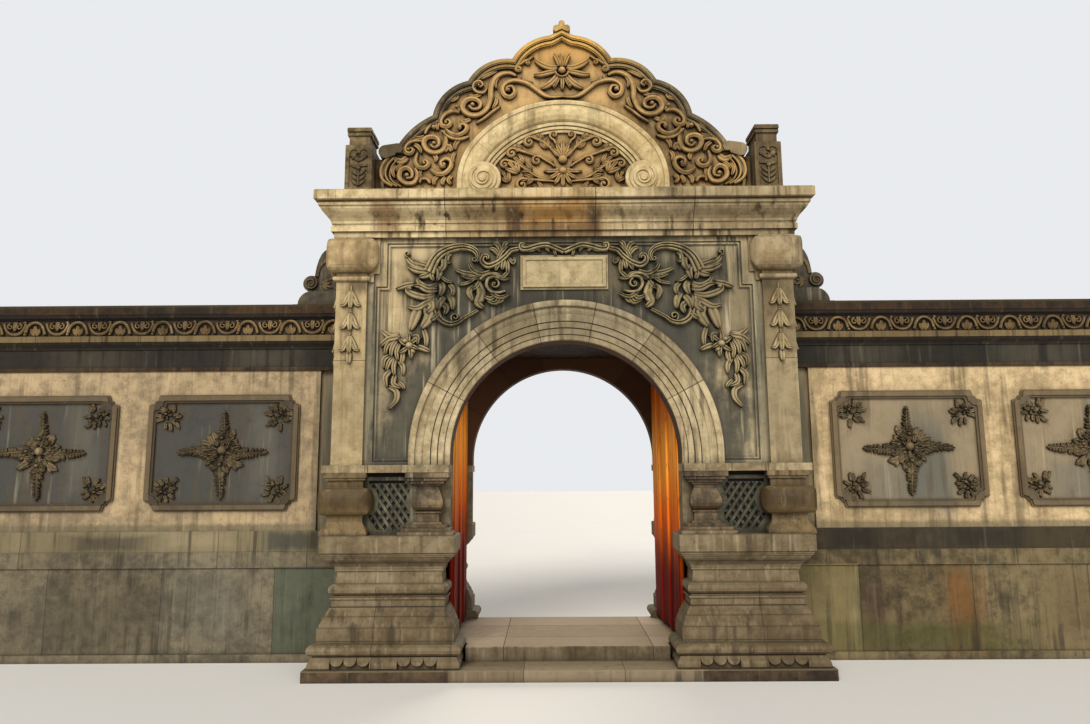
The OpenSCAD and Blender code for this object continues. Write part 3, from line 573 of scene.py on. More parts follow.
class Relief:
    """Carving gathered on one or more faces, then turned into one piece."""

    foot: float = -0.004

    def __init__(self, faces: list[Face], mirrored: bool = True) -> None:
        """Starts an empty carving.

        Args:
            faces: every face that carries the same drawing.
            mirrored: whether the drawing is repeated the other way round.
        """
        self.faces = faces
        self.ways = (1, -1) if mirrored else (1,)
        self.points: list[np.ndarray] = []
        self.sides: list[list[int]] = []
        self.rise: list[np.ndarray] = []
        self.total = 0

    def add(self, u: np.ndarray, v: np.ndarray, out: np.ndarray, sides: list[list[int]], top: float) -> None:
        """Adds one closed form on every face, and both ways round if mirrored.

        Args:
            u: places across.
            v: places upwards.
            out: heights off the face.
            sides: corners of each side.
            top: the form's greatest height.
        """
        for face in self.faces:
            for way in self.ways:
                self.points.append(face.lift(u * way, v, out))
                self.sides.extend([[i + self.total for i in side] for side in sides])
                self.rise.append(np.clip(out / top, 0, 1))
                self.total += len(u)

    def stroke(
        self,
        line: np.ndarray,
        width: float | np.ndarray,
        height: float | np.ndarray,
        section: Section = Section.ROLL,
    ) -> None:
        """Adds a raised stroke along a line.

        Args:
            line: samples on the face.
            width: full width, or one value for each sample.
            height: height off the face, or one value for each sample.
            section: its profile.
        """
        n = len(line)
        w = np.maximum(np.broadcast_to(width, n) / 2, 0.0006)
        h = np.broadcast_to(height, n)
        side = square(line)
        ring = [(-1, None), *section.value, (1, None)]
        u = np.column_stack([line[:, 0] + side[:, 0] * w * k for k, _ in ring]).ravel()
        v = np.column_stack([line[:, 1] + side[:, 1] * w * k for k, _ in ring]).ravel()
        out = np.column_stack([np.full(n, self.foot) if s is None else h * s for _, s in ring]).ravel()
        m = len(ring)
        sides = [*tube(n, m), list(range(m)), list(range((n - 1) * m, n * m))]
        self.add(u, v, out, sides, float(np.max(h)))

    def coil(self, centre: Point, radius: float, entry: float, turns: float, width: float, height: float) -> None:
        """Adds a rolled scroll."""
        self.stroke(spiral(centre, radius, entry, turns), width, height)

    def boss(self, centre: Point, radius: float, height: float, around: int = 12) -> None:
        """Adds a round dome.

        Args:
            centre: its middle.
            radius: its radius.
            height: its height.
            around: points round it.
        """
        rings = [(1.0, self.foot), (1.0, 0.25 * height), (0.82, 0.7 * height), (0.45, 0.95 * height)]
        a = np.arange(around) * 2 * math.pi / around
        u = np.concatenate([centre[0] + radius * r * np.cos(a) for r, _ in rings] + [[centre[0]]])
        v = np.concatenate([centre[1] + radius * r * np.sin(a) for r, _ in rings] + [[centre[1]]])
        out = np.concatenate([np.full(around, o) for _, o in rings] + [[height]])
        last = (len(rings) - 1) * around
        top = [[last + j, last + (j + 1) % around, len(u) - 1] for j in range(around)]
        self.add(u, v, out, [*tube(len(rings), around), *top, list(range(around))], height)

    def leaf(
        self,
        root: Point,
        angle: float,
        length: float,
        width: float,
        height: float,
        bend: float = 0.0,
        lobes: int = 0,
    ) -> None:
        """Adds a leaf with a sunk midrib and a raised point.

        Args:
            root: where it grows from.
            angle: direction in degrees.
            length: its length.
            width: its greatest width.
            height: its greatest height.
            bend: how many degrees it turns from root to point.
            lobes: notches along each edge.
        """
        n = 9 if lobes == 0 else 4 * lobes + 5
        t = np.linspace(0, 1, n)
        a = np.radians(angle + bend * t)
        step = np.column_stack([np.cos(a), np.sin(a)]) * length / (n - 1)
        line = np.array(root) + np.vstack([[0, 0], np.cumsum(step[:-1], axis=0)])
        w = width * np.sin(np.pi * np.clip(t, 0.05, 0.985) ** 0.85) ** 0.62
        h = height * (0.55 + 0.35 * np.sin(np.pi * t**0.8) + 0.28 * t**2)
        if lobes:
            notch = np.abs(np.cos(np.pi * lobes * t))
            w = w * (1.1 - 0.34 * notch)
            h = h * (1.0 - 0.16 * notch)
        self.stroke(line, w, h, Section.LEAF)

    def tendril(
        self,
        root: Point,
        centre: Point,
        radius: float,
        entry: float,
        turns: float,
        width: float,
        height: float,
        start: float,
    ) -> None:
        """Runs a stem from its root into a scroll with a boss at its heart.

        Args:
            root: where the stem starts.
            centre: heart of the scroll.
            radius: how far out the scroll starts.
            entry: angle in degrees at which the stem joins the scroll.
            turns: turns of the scroll, anticlockwise when positive.
            width: width of the stem.
            height: its height.
            start: direction in degrees in which the stem leaves its root.
        """
        coil = spiral(centre, radius, entry, turns)
        join = coil[0]
        reach = float(np.linalg.norm(join - np.array(root))) * 0.45
        a = np.array(polar(root, reach, start))
        b = np.array(polar(tuple(join), -reach, entry + math.copysign(90, turns)))
        t = np.linspace(0, 1, 12, endpoint=False)[:, None]
        stem = (1 - t) ** 3 * np.array(root) + 3 * (1 - t) ** 2 * t * a + 3 * (1 - t) * t**2 * b + t**3 * join
        line = np.vstack([stem, coil])
        wide = spread(line, (0, 0.12, 0.5, 1), (0.55, 0.95, 1.0, 0.55)) * width
        self.stroke(line, wide, height * (0.75 + 0.25 * np.linspace(0, 1, len(line))), Section.STEM)
        self.boss(tuple(coil[-1] * 0.3 + np.array(centre) * 0.7), radius * 0.31, height * 1.12)

    def lobe(self, points: tuple[Point, ...], width: float, height: float) -> None:
        """Adds a fleshy lobe that swells from its root and curls up at its tip.

        Args:
            points: places on its middle line.
            width: its greatest width.
            height: its greatest height.
        """
        line = curve(points, 5)
        t = np.linspace(0, 1, len(line))
        w = width * np.sin(np.pi * np.clip(0.2 + 0.8 * t, 0, 0.985)) ** 0.55
        self.stroke(line, w, height * (0.62 + 0.3 * np.sin(np.pi * t) + 0.38 * t**2), Section.LEAF)

    def ridged(
        self, points: list[Point], shares: tuple[float, ...], widths: tuple[float, ...], height: float, ridges: int
    ) -> None:
        """Adds a broad band that is made of ridges side by side.

        Args:
            points: places on its middle line.
            shares: shares of its length at which widths are given.
            widths: its width at those shares.
            height: its height.
            ridges: how many ridges.
        """
        line = curve(points)
        width = spread(line, shares, widths)
        side = square(line) * width[:, None]
        for k in range(ridges):
            place = (k - (ridges - 1) / 2) / ridges
            self.stroke(line + side * place, width * 1.25 / ridges, height * (1 - 0.5 * abs(place)))

    def flower(self, centre: Point, radius: float, petals: int, height: float, turn: float) -> None:
        """Adds an open flower.

        Args:
            centre: its heart.
            radius: its radius.
            petals: how many petals.
            height: its height.
            turn: direction of the first petal in degrees.
        """
        for k in range(petals):
            a = turn + 360 * k / petals
            self.leaf(polar(centre, radius * 0.2, a), a, radius * 0.8, radius * 0.36, height, 14, 2)
        self.boss(centre, radius * 0.24, height * 1.25, 14)

    def mesh(self, name: str) -> bpy.types.Mesh:
        """Makes one mesh that keeps, for its finish, how high each point rises.

        Args:
            name: what it is called.

        Returns:
            The mesh.
        """
        mesh = bpy.data.meshes.new(name)
        mesh.from_pydata(np.vstack(self.points).tolist(), [], self.sides)
        rise = mesh.attributes.new("rise", "FLOAT", "POINT")
        rise.data.foreach_set("value", np.concatenate(self.rise))
        return mesh

    def piece(self, name: str, finish: bpy.types.Material, slot: str) -> None:
        """Makes the carving one piece."""
        settle(name, self.mesh(name), finish)


def settle(name: str, mesh: bpy.types.Mesh, finish: bpy.types.Material) -> None:
    """Turns a mesh outwards, dresses it and fixes it to the gate.

    Args:
        name: piece name.
        mesh: its mesh, in place.
        finish: its material.
    """
    shell = bmesh.new()
    shell.from_mesh(mesh)
    bmesh.ops.recalc_face_normals(shell, faces=shell.faces[:])
    shell.to_mesh(mesh)
    shell.free()
    mesh.polygons.foreach_set("use_smooth", [len(f.vertices) <= 4 for f in mesh.polygons])
    mesh.materials.clear()
    mesh.materials.append(finish)
    piece = bpy.data.objects.new(name, mesh)
    bpy.context.scene.collection.objects.link(piece)
    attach(piece, "gate")
    log.info("%s: %d faces", name, len(mesh.polygons))


# ---- Carved work


@dataclass
class PedimentCarving:
    """Flower, scrolls and lotus on the pediment, front and rear."""

    field_y: float = 0.64
    band_y: float = 0.744
    floor_z: float = 4.591
    height: float = 0.056
    flower_z: float = 1.415
    lotus_z: float = 0.47
    foot_at: Point = (0.819, 0.215)

    PETALS = traced(
        (78, 50, 45, 120, 34, 200, 60, 285, 115), (70, 55, 0, 140, -22, 220, -45, 295, -50), (78, 45, -45, 95, -115,
        150, -165, 220, -205), (58, 25, 50, 45, 120, 85, 185), (44, 30, -70, 55, -130, 90, -200),
    )
    SCROLLS = traced(
        (51, -4, 1129, 85, 1121, 174, 1140, 276, 1215, 366, 1281, 481, 1311, 570, 1291, 623, 1231, 607, 1152, 543,
        1124, 495, 1173, 519, 1237, 576, 1228, 579, 1183), (59, 481, 1363, 545, 1394, 634, 1386, 711, 1326, 745, 1218,
        749, 1109, 790, 995, 872, 932, 973, 938, 1035, 997, 1023, 1064, 969, 1104, 899, 1097, 854, 1053, 870, 1002,
        930, 992, 968, 1030), (37, 786, 1225, 824, 1180, 888, 1185, 926, 1233, 908, 1284, 857, 1293, 831, 1259, 863,
        1232), (51, 1069, 960, 1152, 977, 1227, 937, 1266, 870, 1247, 814, 1189, 806, 1159, 846, 1190, 877, 1219,
        854), (48, 1218, 783, 1160, 729, 1084, 709, 1011, 748, 992, 804, 1038, 831, 1075, 800, 1054, 769), (42, 970,
        695, 1071, 666, 1172, 689, 1249, 757), (56, 1236, 763, 1210, 683, 1215, 603, 1251, 544, 1326, 522, 1402, 554,
        1436, 625, 1411, 678, 1349, 691, 1291, 664, 1284, 604, 1327, 575, 1362, 607), (48, 1417, 638, 1499, 658, 1575,
        643, 1626, 590, 1620, 526, 1569, 513, 1541, 550, 1573, 572), (48, 1502, 519, 1522, 433, 1486, 367, 1420, 359,
        1383, 403, 1413, 439, 1451, 417), (51, 1360, 337, 1290, 289, 1215, 299, 1156, 362, 1152, 428, 1206, 455, 1258,
        418, 1244, 365, 1210, 372), (54, 1524, 354, 1498, 275, 1533, 203, 1614, 195, 1678, 250, 1670, 329, 1608, 357,
        1557, 315, 1555, 256, 1609, 243), (37, 1364, 831, 1407, 778, 1425, 718), (34, 644, 1028, 733, 961, 808, 894,
        896, 835), (40, 1363, 189, 1396, 238, 1458, 235, 1470, 190),
    )
    LEAVES = traced(
        (88, 1608, 480, 1670, 431, 1749, 472), (75, 1144, 543, 1185, 592, 1213, 524), (68, 1114, 1024, 1088, 983,
        1063, 963), (61, 954, 895, 1023, 862, 1049, 896), (58, 1264, 897, 1301, 830, 1293, 764), (58, 1425, 711, 1462,
        685, 1525, 685), (51, 1467, 341, 1472, 275, 1427, 248), (61, 1146, 273, 1176, 221, 1144, 175), (58, 1208, 260,
        1239, 208, 1225, 169), (58, 1290, 274, 1326, 221, 1319, 169), (58, 1058, 682, 1108, 616, 1113, 550), (51,
        1112, 523, 1137, 470, 1123, 404), (51, 849, 1164, 913, 1138, 989, 1145), (51, 683, 1123, 695, 1055, 733, 988),
        (58, 1536, 619, 1485, 578, 1458, 512), (58, 1332, 505, 1306, 465, 1318, 419), (58, 1719, 395, 1755, 329, 1728,
        250), (51, 1657, 408, 1693, 368, 1717, 316), (51, 1091, 1166, 1116, 1112, 1179, 1085), (44, 964, 1165, 938,
        1131, 899, 1110), (51, 1353, 898, 1415, 845, 1489, 765), (51, 1501, 745, 1563, 699, 1650, 619), (48, 686,
        1422, 788, 1368, 851, 1327), (44, 666, 1353, 698, 1292, 684, 1217), (44, 417, 1365, 379, 1311, 302, 1283),
    )
    BERRIES = (
        (0.563, 1.2, 0.03), (0.934, 1.04, 0.033), (0.869, 1.253, 0.019), (1.21, 0.841, 0.025), (1.057, 0.791, 0.023),
        (1.328, 0.62, 0.033), (1.591, 0.553, 0.025), (1.428, 0.403, 0.025), (1.223, 0.389, 0.028), (1.603, 0.276,
        0.033), (1.333, 0.796, 0.033), (1.101, 1.017, 0.025), (0.446, 1.439, 0.02), (1.151, 0.227, 0.018),
    )

    def build(self, finish: bpy.types.Material, pale: bpy.types.Material) -> None:
        """Carves the field, the space inside the band, and the band's rolled feet.

        Args:
            finish: material of the carving.
            pale: material of the band.
        """
        ground = both(self.field_y, self.floor_z)
        one, two, heart, lone = Relief(ground, False), Relief(ground), Relief(ground), Relief(ground, False)
        self._flower(one, two)
        self._rinceau(two)
        self._lotus(heart, lone)
        carved = {"pediment_flower": one, "pediment_scrolls": two, "lotus_scrolls": heart, "lotus_flower": lone}
        for name, relief in carved.items():
            relief.piece(name, finish, "dark_carved_stone")
        feet = Relief(both(self.band_y, self.floor_z))
        feet.stroke(spiral(self.foot_at, 0.132, 60, -1.7, 0.34), 0.03, 0.013)
        feet.boss(self.foot_at, 0.036, 0.016, 14)
        feet.piece("band_volutes", pale, "pale_marble")

    def _flower(self, one: Relief, two: Relief) -> None:
        """Draws the flower at the top.

        Args:
            one: takes what stands on the middle line.
            two: takes what is on both sides of it.
        """
        h, z = self.height, self.flower_z
        one.boss((0, z), 0.042, h * 1.35, 14)
        ring = np.radians(np.linspace(195, 345, 15))
        one.stroke(np.column_stack([0.07 * np.cos(ring), z + 0.07 * np.sin(ring)]), 0.026, h)
        one.lobe(((0.0, z - 0.06), (0.004, z - 0.14), (0.0, z - 0.22)), 0.056, h)
        one.lobe(((0.0, z + 0.04), (-0.006, z + 0.11), (-0.02, z + 0.19)), 0.05, h * 0.9)
        for points, width in self.PETALS:
            two.lobe(tuple((a, z + b) for a, b in points), width, h * 1.05)
        two.boss((0.083, z - 0.165), 0.022, h * 0.9)
        two.tendril((0.33, z + 0.13), (0.452, z + 0.028), 0.042, 70, -1.2, 0.036, h, 0)
        two.tendril((0.29, z + 0.16), (0.352, z + 0.098), 0.028, 70, -1.1, 0.026, h * 0.9, 0)

    def _rinceau(self, r: Relief) -> None:
        """Draws the running scrolls beside the band, with leaves and berries on the ground between.

        Args:
            r: takes the carving.
        """
        h = self.height
        for points, width in self.SCROLLS:
            line = curve(points, 6)
            wide = spread(line, (0, 0.15, 0.6, 1), (0.6, 1.1, 1.1, 0.6)) * width
            r.stroke(line, wide, h * (0.8 + 0.3 * np.linspace(0, 1, len(line))), Section.STEM)
        for k, (points, width) in enumerate(self.LEAVES):
            r.lobe(points, width, h * (0.72 + 0.08 * (k % 3)))
        for x, z, size in self.BERRIES:
            r.boss((x, z), size * 0.8, h * 1.25)
        edge = curve([(1.791, 0.481), (1.857, 0.396), (1.877, 0.297), (1.839, 0.218), (1.75, 0.165)])
        for place, width in ((1.0, 0.045), (0.972, 0.03), (0.948, 0.022)):
            r.stroke(edge * [place, place], width, h * 0.85)

    def _lotus(self, r: Relief, one: Relief) -> None:
        """Draws the lotus inside the band with scrolls beside it.

        Args:
            r: takes what is on both sides of the middle line.
            one: takes what stands on it.
        """
        z, h = self.lotus_z, self.height * 0.9
        for a, s in ((90, 0.19), (68, 0.18), (112, 0.18), (46, 0.16), (134, 0.16)):
            one.leaf((0, z - 0.02), a, s, 0.066, h * 1.1)
        one.boss((0, z - 0.03), 0.05, h * 1.2)
        for a, s in ((270, 0.19), (240, 0.18), (300, 0.18), (212, 0.18), (328, 0.18), (182, 0.2), (-2, 0.2)):
            one.leaf((0, z - 0.15), a, s, 0.066, h, 0, 2)
        one.boss((0, z - 0.155), 0.044, h * 1.3)
        for root, heart, radius, entry, turns, width, start in (
            ((0.05, 0.60), (0.09, 0.705), 0.046, -70, 1.15, 0.032, 20),
            ((0.06, 0.47), (0.345, 0.63), 0.062, 110, -1.25, 0.042, 60),
            ((0.1, 0.42), (0.525, 0.51), 0.058, 110, -1.2, 0.04, 20),
            ((0.08, 0.36), (0.268, 0.43), 0.058, 130, -1.2, 0.038, 50),
            ((0.1, 0.24), (0.6, 0.39), 0.05, 100, -1.1, 0.036, -10),
            ((0.06, 0.2), (0.42, 0.17), 0.07, 100, -1.2, 0.04, 10),
        ):
            r.tendril(root, heart, radius, entry, turns, width, h, start)
        for x, up, a, s in (
            (0.17, 0.56, 75, 0.12), (0.2, 0.66, 30, 0.1), (0.42, 0.56, 10, 0.11), (0.4, 0.40, 30, 0.14),
            (0.46, 0.3, 50, 0.18), (0.32, 0.33, 20, 0.13), (0.3, 0.24, -10, 0.14), (0.56, 0.2, 60, 0.14),
            (0.2, 0.12, 20, 0.13),
        ):
            for k in (-38, 0, 38):
                r.leaf((x, up), a + k, s * (0.8 if k else 1.0), s * 0.38, h, -k * 0.5, 0 if k else 2)


@dataclass
class WallGarland:
    """Leaf and scroll garland round the plaque and down both sides of the arch."""

    face_y: float = 0.80
    height: float = 0.066
    fullness: float = 1.2
    fruit_at: Point = (1.514, 3.067)

    WING = traced(
        (68, 1311, 3837, 1414, 3854, 1512, 3894, 1560, 3965), (63, 1310, 3814, 1413, 3809, 1493, 3832, 1552, 3871),
        (63, 1316, 3796, 1372, 3763, 1434, 3751), (68, 1254, 3855, 1230, 3802, 1251, 3709), (56, 1294, 3825, 1309,
        3767, 1285, 3709), (63, 1194, 3938, 1186, 3867, 1224, 3797), (45, 1121, 3991, 1154, 3956, 1153, 3900, 1113,
        3900), (50, 1290, 3860, 1400, 3885, 1490, 3925),
    )
    FALL = traced(
        (66, 1255, 3674, 1340, 3646, 1420, 3684, 1451, 3743), (61, 1248, 3621, 1339, 3615, 1420, 3655, 1477, 3661),
        (59, 1477, 3684, 1568, 3664, 1657, 3628), (68, 1270, 3575, 1371, 3551, 1474, 3573, 1543, 3614, 1539, 3654),
        (68, 1280, 3528, 1358, 3487, 1447, 3440, 1544, 3457), (75, 1324, 3505, 1295, 3447, 1355, 3389), (102, 1357,
        3458, 1326, 3355, 1401, 3234), (102, 1436, 3435, 1467, 3342, 1508, 3216), (68, 1269, 3552, 1278, 3459, 1310,
        3401), (52, 1220, 3402, 1263, 3344, 1308, 3315), (70, 1216, 3691, 1197, 3633, 1224, 3552), (52, 1136, 3680,
        1095, 3622, 1110, 3553), (68, 1145, 3576, 1104, 3506, 1096, 3414), (68, 1178, 3552, 1222, 3482, 1243, 3413),
        (63, 1199, 3483, 1153, 3437, 1174, 3367), (34, 1218, 3762, 1160, 3709, 1091, 3695), (38, 1045, 3675, 943,
        3693, 876, 3734, 830, 3706), (52, 729, 3806, 820, 3773, 906, 3816, 942, 3892), (59, 797, 3758, 888, 3773, 979,
        3786, 1083, 3827), (45, 842, 3740, 933, 3740, 1024, 3769), (63, 886, 3659, 936, 3600, 894, 3502), (90, 858,
        3694, 816, 3578, 848, 3485, 791, 3433), (45, 830, 3717, 863, 3647, 908, 3624),
    )
    KNOTS = traced(
        (52, 617, 3941, 650, 3871, 683, 3806), (50, 594, 3930, 604, 3859, 609, 3812), (50, 571, 3918, 559, 3848, 558,
        3771), (41, 548, 3942, 502, 3889, 491, 3948), (52, 640, 3965, 687, 4023, 744, 4041), (52, 618, 3988, 653,
        4065, 705, 4088), (52, 595, 4000, 590, 4071, 551, 4101), (45, 662, 3917, 618, 4000, 556, 4060), (52, 819,
        3717, 751, 3764, 671, 3771, 614, 3728, 534, 3731), (41, 625, 3724, 580, 3766, 547, 3801), (50, 668, 3573, 724,
        3526, 793, 3555), (50, 634, 3561, 678, 3486, 758, 3508), (43, 600, 3562, 622, 3509, 678, 3480), (45, 725,
        3590, 634, 3538, 532, 3574),
    )
    TAIL = traced(
        (70, 1614, 3175, 1697, 3152, 1784, 3220), (63, 1618, 3152, 1719, 3129, 1795, 3060), (45, 1489, 3153, 1433,
        3153, 1436, 3074), (56, 1447, 3062, 1379, 3040, 1310, 3006), (50, 1385, 3240, 1353, 3137, 1356, 3046), (52,
        1674, 3123, 1728, 3066, 1747, 2975), (52, 1640, 3124, 1682, 3044, 1690, 2953), (52, 1611, 3090, 1636, 3010,
        1622, 2919), (52, 1581, 3033, 1578, 2953, 1598, 2874), (50, 1702, 2975, 1756, 2930, 1759, 2839), (50, 1668,
        2964, 1710, 2896, 1730, 2817), (50, 1645, 2942, 1664, 2862, 1650, 2772), (50, 1622, 2930, 1575, 2863, 1572,
        2773), (56, 1686, 2828, 1739, 2760, 1724, 2659), (52, 1651, 2783, 1659, 2693, 1579, 2655), (38, 1615, 2716,
        1569, 2672, 1556, 2638), (56, 1713, 2671, 1634, 2626, 1631, 2537, 1705, 2447),
    )

    def build(self, finish: bpy.types.Material) -> None:
        """Carves the garland on the front and rear walls.

        Args:
            finish: material of the carving.
        """
        r = Relief(both(self.face_y))
        for part in (self.WING, self.FALL, self.KNOTS, self.TAIL):
            for k, (points, width) in enumerate(part):
                r.lobe(points, width * self.fullness, self.height * (0.82 + 0.09 * (k * 3 % 4)))
        self._stems(r)
        self._fruit(r)
        r.piece("wall_garlands", finish, "slate_stone")

    def _stems(self, r: Relief) -> None:
        """Draws the ribs and scrolls that the lobes grow from.

        Args:
            r: takes the carving.
        """
        h = self.height
        for points, shares, widths, height, ridges in (
            (
                [(1.335, 3.8), (1.309, 3.863), (1.272, 3.935), (1.205, 4.0), (1.1, 4.045), (0.985, 4.055),
                 (0.893, 4.025), (0.85, 3.965), (0.87, 3.902)],
                (0, 0.45, 1), (0.13, 0.09, 0.04), h, 3,
            ),
            (
                [(1.25, 3.42), (1.235, 3.36), (1.195, 3.31), (1.126, 3.281), (1.045, 3.295), (0.981, 3.34),
                 (0.847, 3.415)],
                (0, 0.5, 1), (0.07, 0.055, 0.03), h * 0.95, 2,
            ),
            (
                [(0.385, 4.07), (0.425, 4.075), (0.42, 4.035), (0.36, 4.03), (0.26, 4.06), (0.17, 4.07), (0.09, 4.04),
                 (0.0, 4.0)],
                (0, 0.3, 1), (0.03, 0.06, 0.055), h, 2,
            ),
            (
                [(0.45, 4.03), (0.527, 4.01), (0.583, 3.951), (0.662, 3.888), (0.753, 3.858), (0.811, 3.902),
                 (0.8, 3.955), (0.762, 3.96), (0.752, 3.925)],
                (0, 0.5, 1), (0.045, 0.065, 0.03), h * 1.05, 2,
            ),
        ):
            r.ridged(points, shares, widths, height, ridges)
        knot = [(0.83, 3.72), (0.77, 3.765), (0.69, 3.77), (0.64, 3.73), (0.7, 3.745), (0.752, 3.72), (0.765, 3.66),
                (0.725, 3.6), (0.65, 3.585), (0.58, 3.6)]
        r.stroke(curve(knot), 0.042, h)
        r.coil((0.888, 3.925), 0.028, 200, 0.8, 0.02, h)
        r.coil((1.07, 3.345), 0.045, -60, 1.2, 0.026, h * 0.9)
        r.coil((0.685, 3.672), 0.05, 100, 1.1, 0.028, h)
        r.coil((1.548, 3.985), 0.032, -100, 1.1, 0.024, h)

    def _fruit(self, r: Relief) -> None:
        """Draws the leaves over the plaque, the small fruit and the leaves round them.

        Args:
            r: takes the carving.
        """
        h = self.height
        for x, z, a in ((0.3, 4.05, 200), (0.2, 4.06, 215), (0.11, 4.03, 235), (0.36, 4.0, 150)):
            r.leaf((x, z), a, 0.09, 0.036, h * 0.8, 40)
        for angle, length in ((20, 0.13), (75, 0.12), (130, 0.15), (190, 0.1), (250, 0.14), (310, 0.13)):
            r.leaf(self.fruit_at, angle, length, 0.056, h * 1.15, 35)
        for at, radius, height, around in (
            (self.fruit_at, 0.04, 1.35, 14), ((1.555, 3.11), 0.028, 1.2, 12), ((1.478, 3.01), 0.026, 1.15, 12),
            ((1.523, 3.636), 0.026, 1.2, 10), ((0.688, 3.67), 0.016, 1.05, 8),
        ):
            r.boss(at, radius, h * height, around)


@dataclass
class HuskDrops:
    """Strings of leaf husks hanging down the faces of the pilasters."""

    top_z: float = 3.66
    pitch: float = 0.222
    length: float = 0.66
    x: float = 2.088
    y: float = 0.71
    face_x: float = 2.238
    face_y: float = 0.86
    height: float = 0.04

    def build(self, finish: bpy.types.Material) -> None:
        """Carves a drop on the front, rear and outer face of each pilaster.

        Args:
            finish: material of the carving.
        """
        outer = [Face((self.face_x, 0, 0), (0, 1, 0)), Face((-self.face_x, 0, 0), (0, -1, 0))]
        for name, faces, x in (("husk_drops", both(self.face_y), self.x), ("husk_drops_outer", outer, self.y)):
            r = Relief(faces)
            self._drop(r, x)
            r.piece(name, finish, "pale_marble")

    def _drop(self, r: Relief, x: float) -> None:
        """Draws one string of three husks and a bud, at a place across.

        Args:
            r: takes the carving.
            x: its place across the face.
        """
        top, end, h = self.top_z, self.top_z - self.length, self.height
        r.stroke(curve([(x, top), (x - 0.004, top - 0.3), (x, end)], 9), 0.018, h * 0.5)
        for k in range(3):
            z = top - 0.2 - self.pitch * k
            for s in (1, -1):
                side = ((x, z + 0.14), (x + s * 0.034, z + 0.07), (x + s * 0.062, z + 0.012), (x + s * 0.1, z + 0.004))
                r.lobe(side, 0.062, h)
            r.lobe(((x, z + 0.145), (x, z + 0.06), (x, z - 0.03)), 0.076, h * 1.15)
            for j in range(3):
                r.boss((x, z - 0.042 - 0.022 * j), 0.012, h * 0.7, 8)
        r.lobe(((x, end), (x, top - 0.72), (x, top - 0.775)), 0.064, h * 1.2)


@dataclass
class PostPanels:
    """Leaf stems in the sunk panels of the corner posts."""

    x: float = 2.074
    face_y: float = 0.788
    low_z: float = 4.701
    height: float = 0.022

    def build(self, finish: bpy.types.Material) -> None:
        """Carves the four panels.

        Args:
            finish: material of the carving.
        """
        r = Relief(both(self.face_y))
        x, z, h = self.x, self.low_z, self.height
        r.stroke(curve([(x, z + 0.01), (x, z + 0.18)]), 0.018, h * 0.8)
        for k in range(3):
            for s in (1, -1):
                r.leaf((x, z + 0.02 + 0.052 * k), 90 - s * 58, 0.1, 0.036, h, s * 22)
        for s, a, size, up in (
            (1, 35, 0.09, 0.2), (-1, 20, 0.1, 0.22), (-1, 50, 0.11, 0.27), (1, 60, 0.08, 0.27), (-1, 10, 0.09, 0.33)
        ):
            r.leaf((x, z + up), 90 - s * (90 - a), size, 0.04, h, -s * 40)
        bloom = (x + 0.05, z + 0.33)
        for k in range(5):
            r.leaf(bloom, 72 * k, 0.045, 0.024, h * 1.1)
        r.boss(bloom, 0.03, h)
        r.boss((x, z + 0.2), 0.024, h * 1.2)
        r.boss((x, z + 0.365), 0.018, h * 1.1, 10)
        r.piece("post_leaves", finish, "dark_carved_stone")


@dataclass
class ConsoleScrolls:
    """Scroll lines on both faces of the wall consoles."""

    side_x: float = 2.2
    foot_z: float = 3.768
    face_y: float = 0.19
    height: float = 0.018

    def build(self, finish: bpy.types.Material) -> None:
        """Carves the consoles beside the gate.

        Args:
            finish: material of the carving.
        """
        r = Relief(both(self.face_y))
        x, z, h = self.side_x, self.foot_z, self.height
        r.stroke(spiral((x + 0.5, z + 0.088), 0.072, 120, 1.8, 0.25), 0.02, h + 0.014)
        edge = curve([(x + 0.44, z + 0.16), (x + 0.40, z + 0.29), (x + 0.28, z + 0.37), (x + 0.15, z + 0.385)])
        r.stroke(edge, 0.035, h, Section.STEM)
        r.tendril((x + 0.39, z + 0.08), (x + 0.2, z + 0.22), 0.085, -30, 1.5, 0.03, h, 120)
        for a, s in ((200, 0.12), (230, 0.1), (170, 0.1), (140, 0.09)):
            r.leaf((x + 0.38, z + 0.08), a, s, 0.036, h)
        r.leaf((x + 0.05, z + 0.06), 60, 0.13, 0.045, h, -30)
        r.leaf((x + 0.16, z + 0.05), 30, 0.12, 0.04, h, 30)
        r.piece("console_scrolls", finish, "dark_carved_stone")


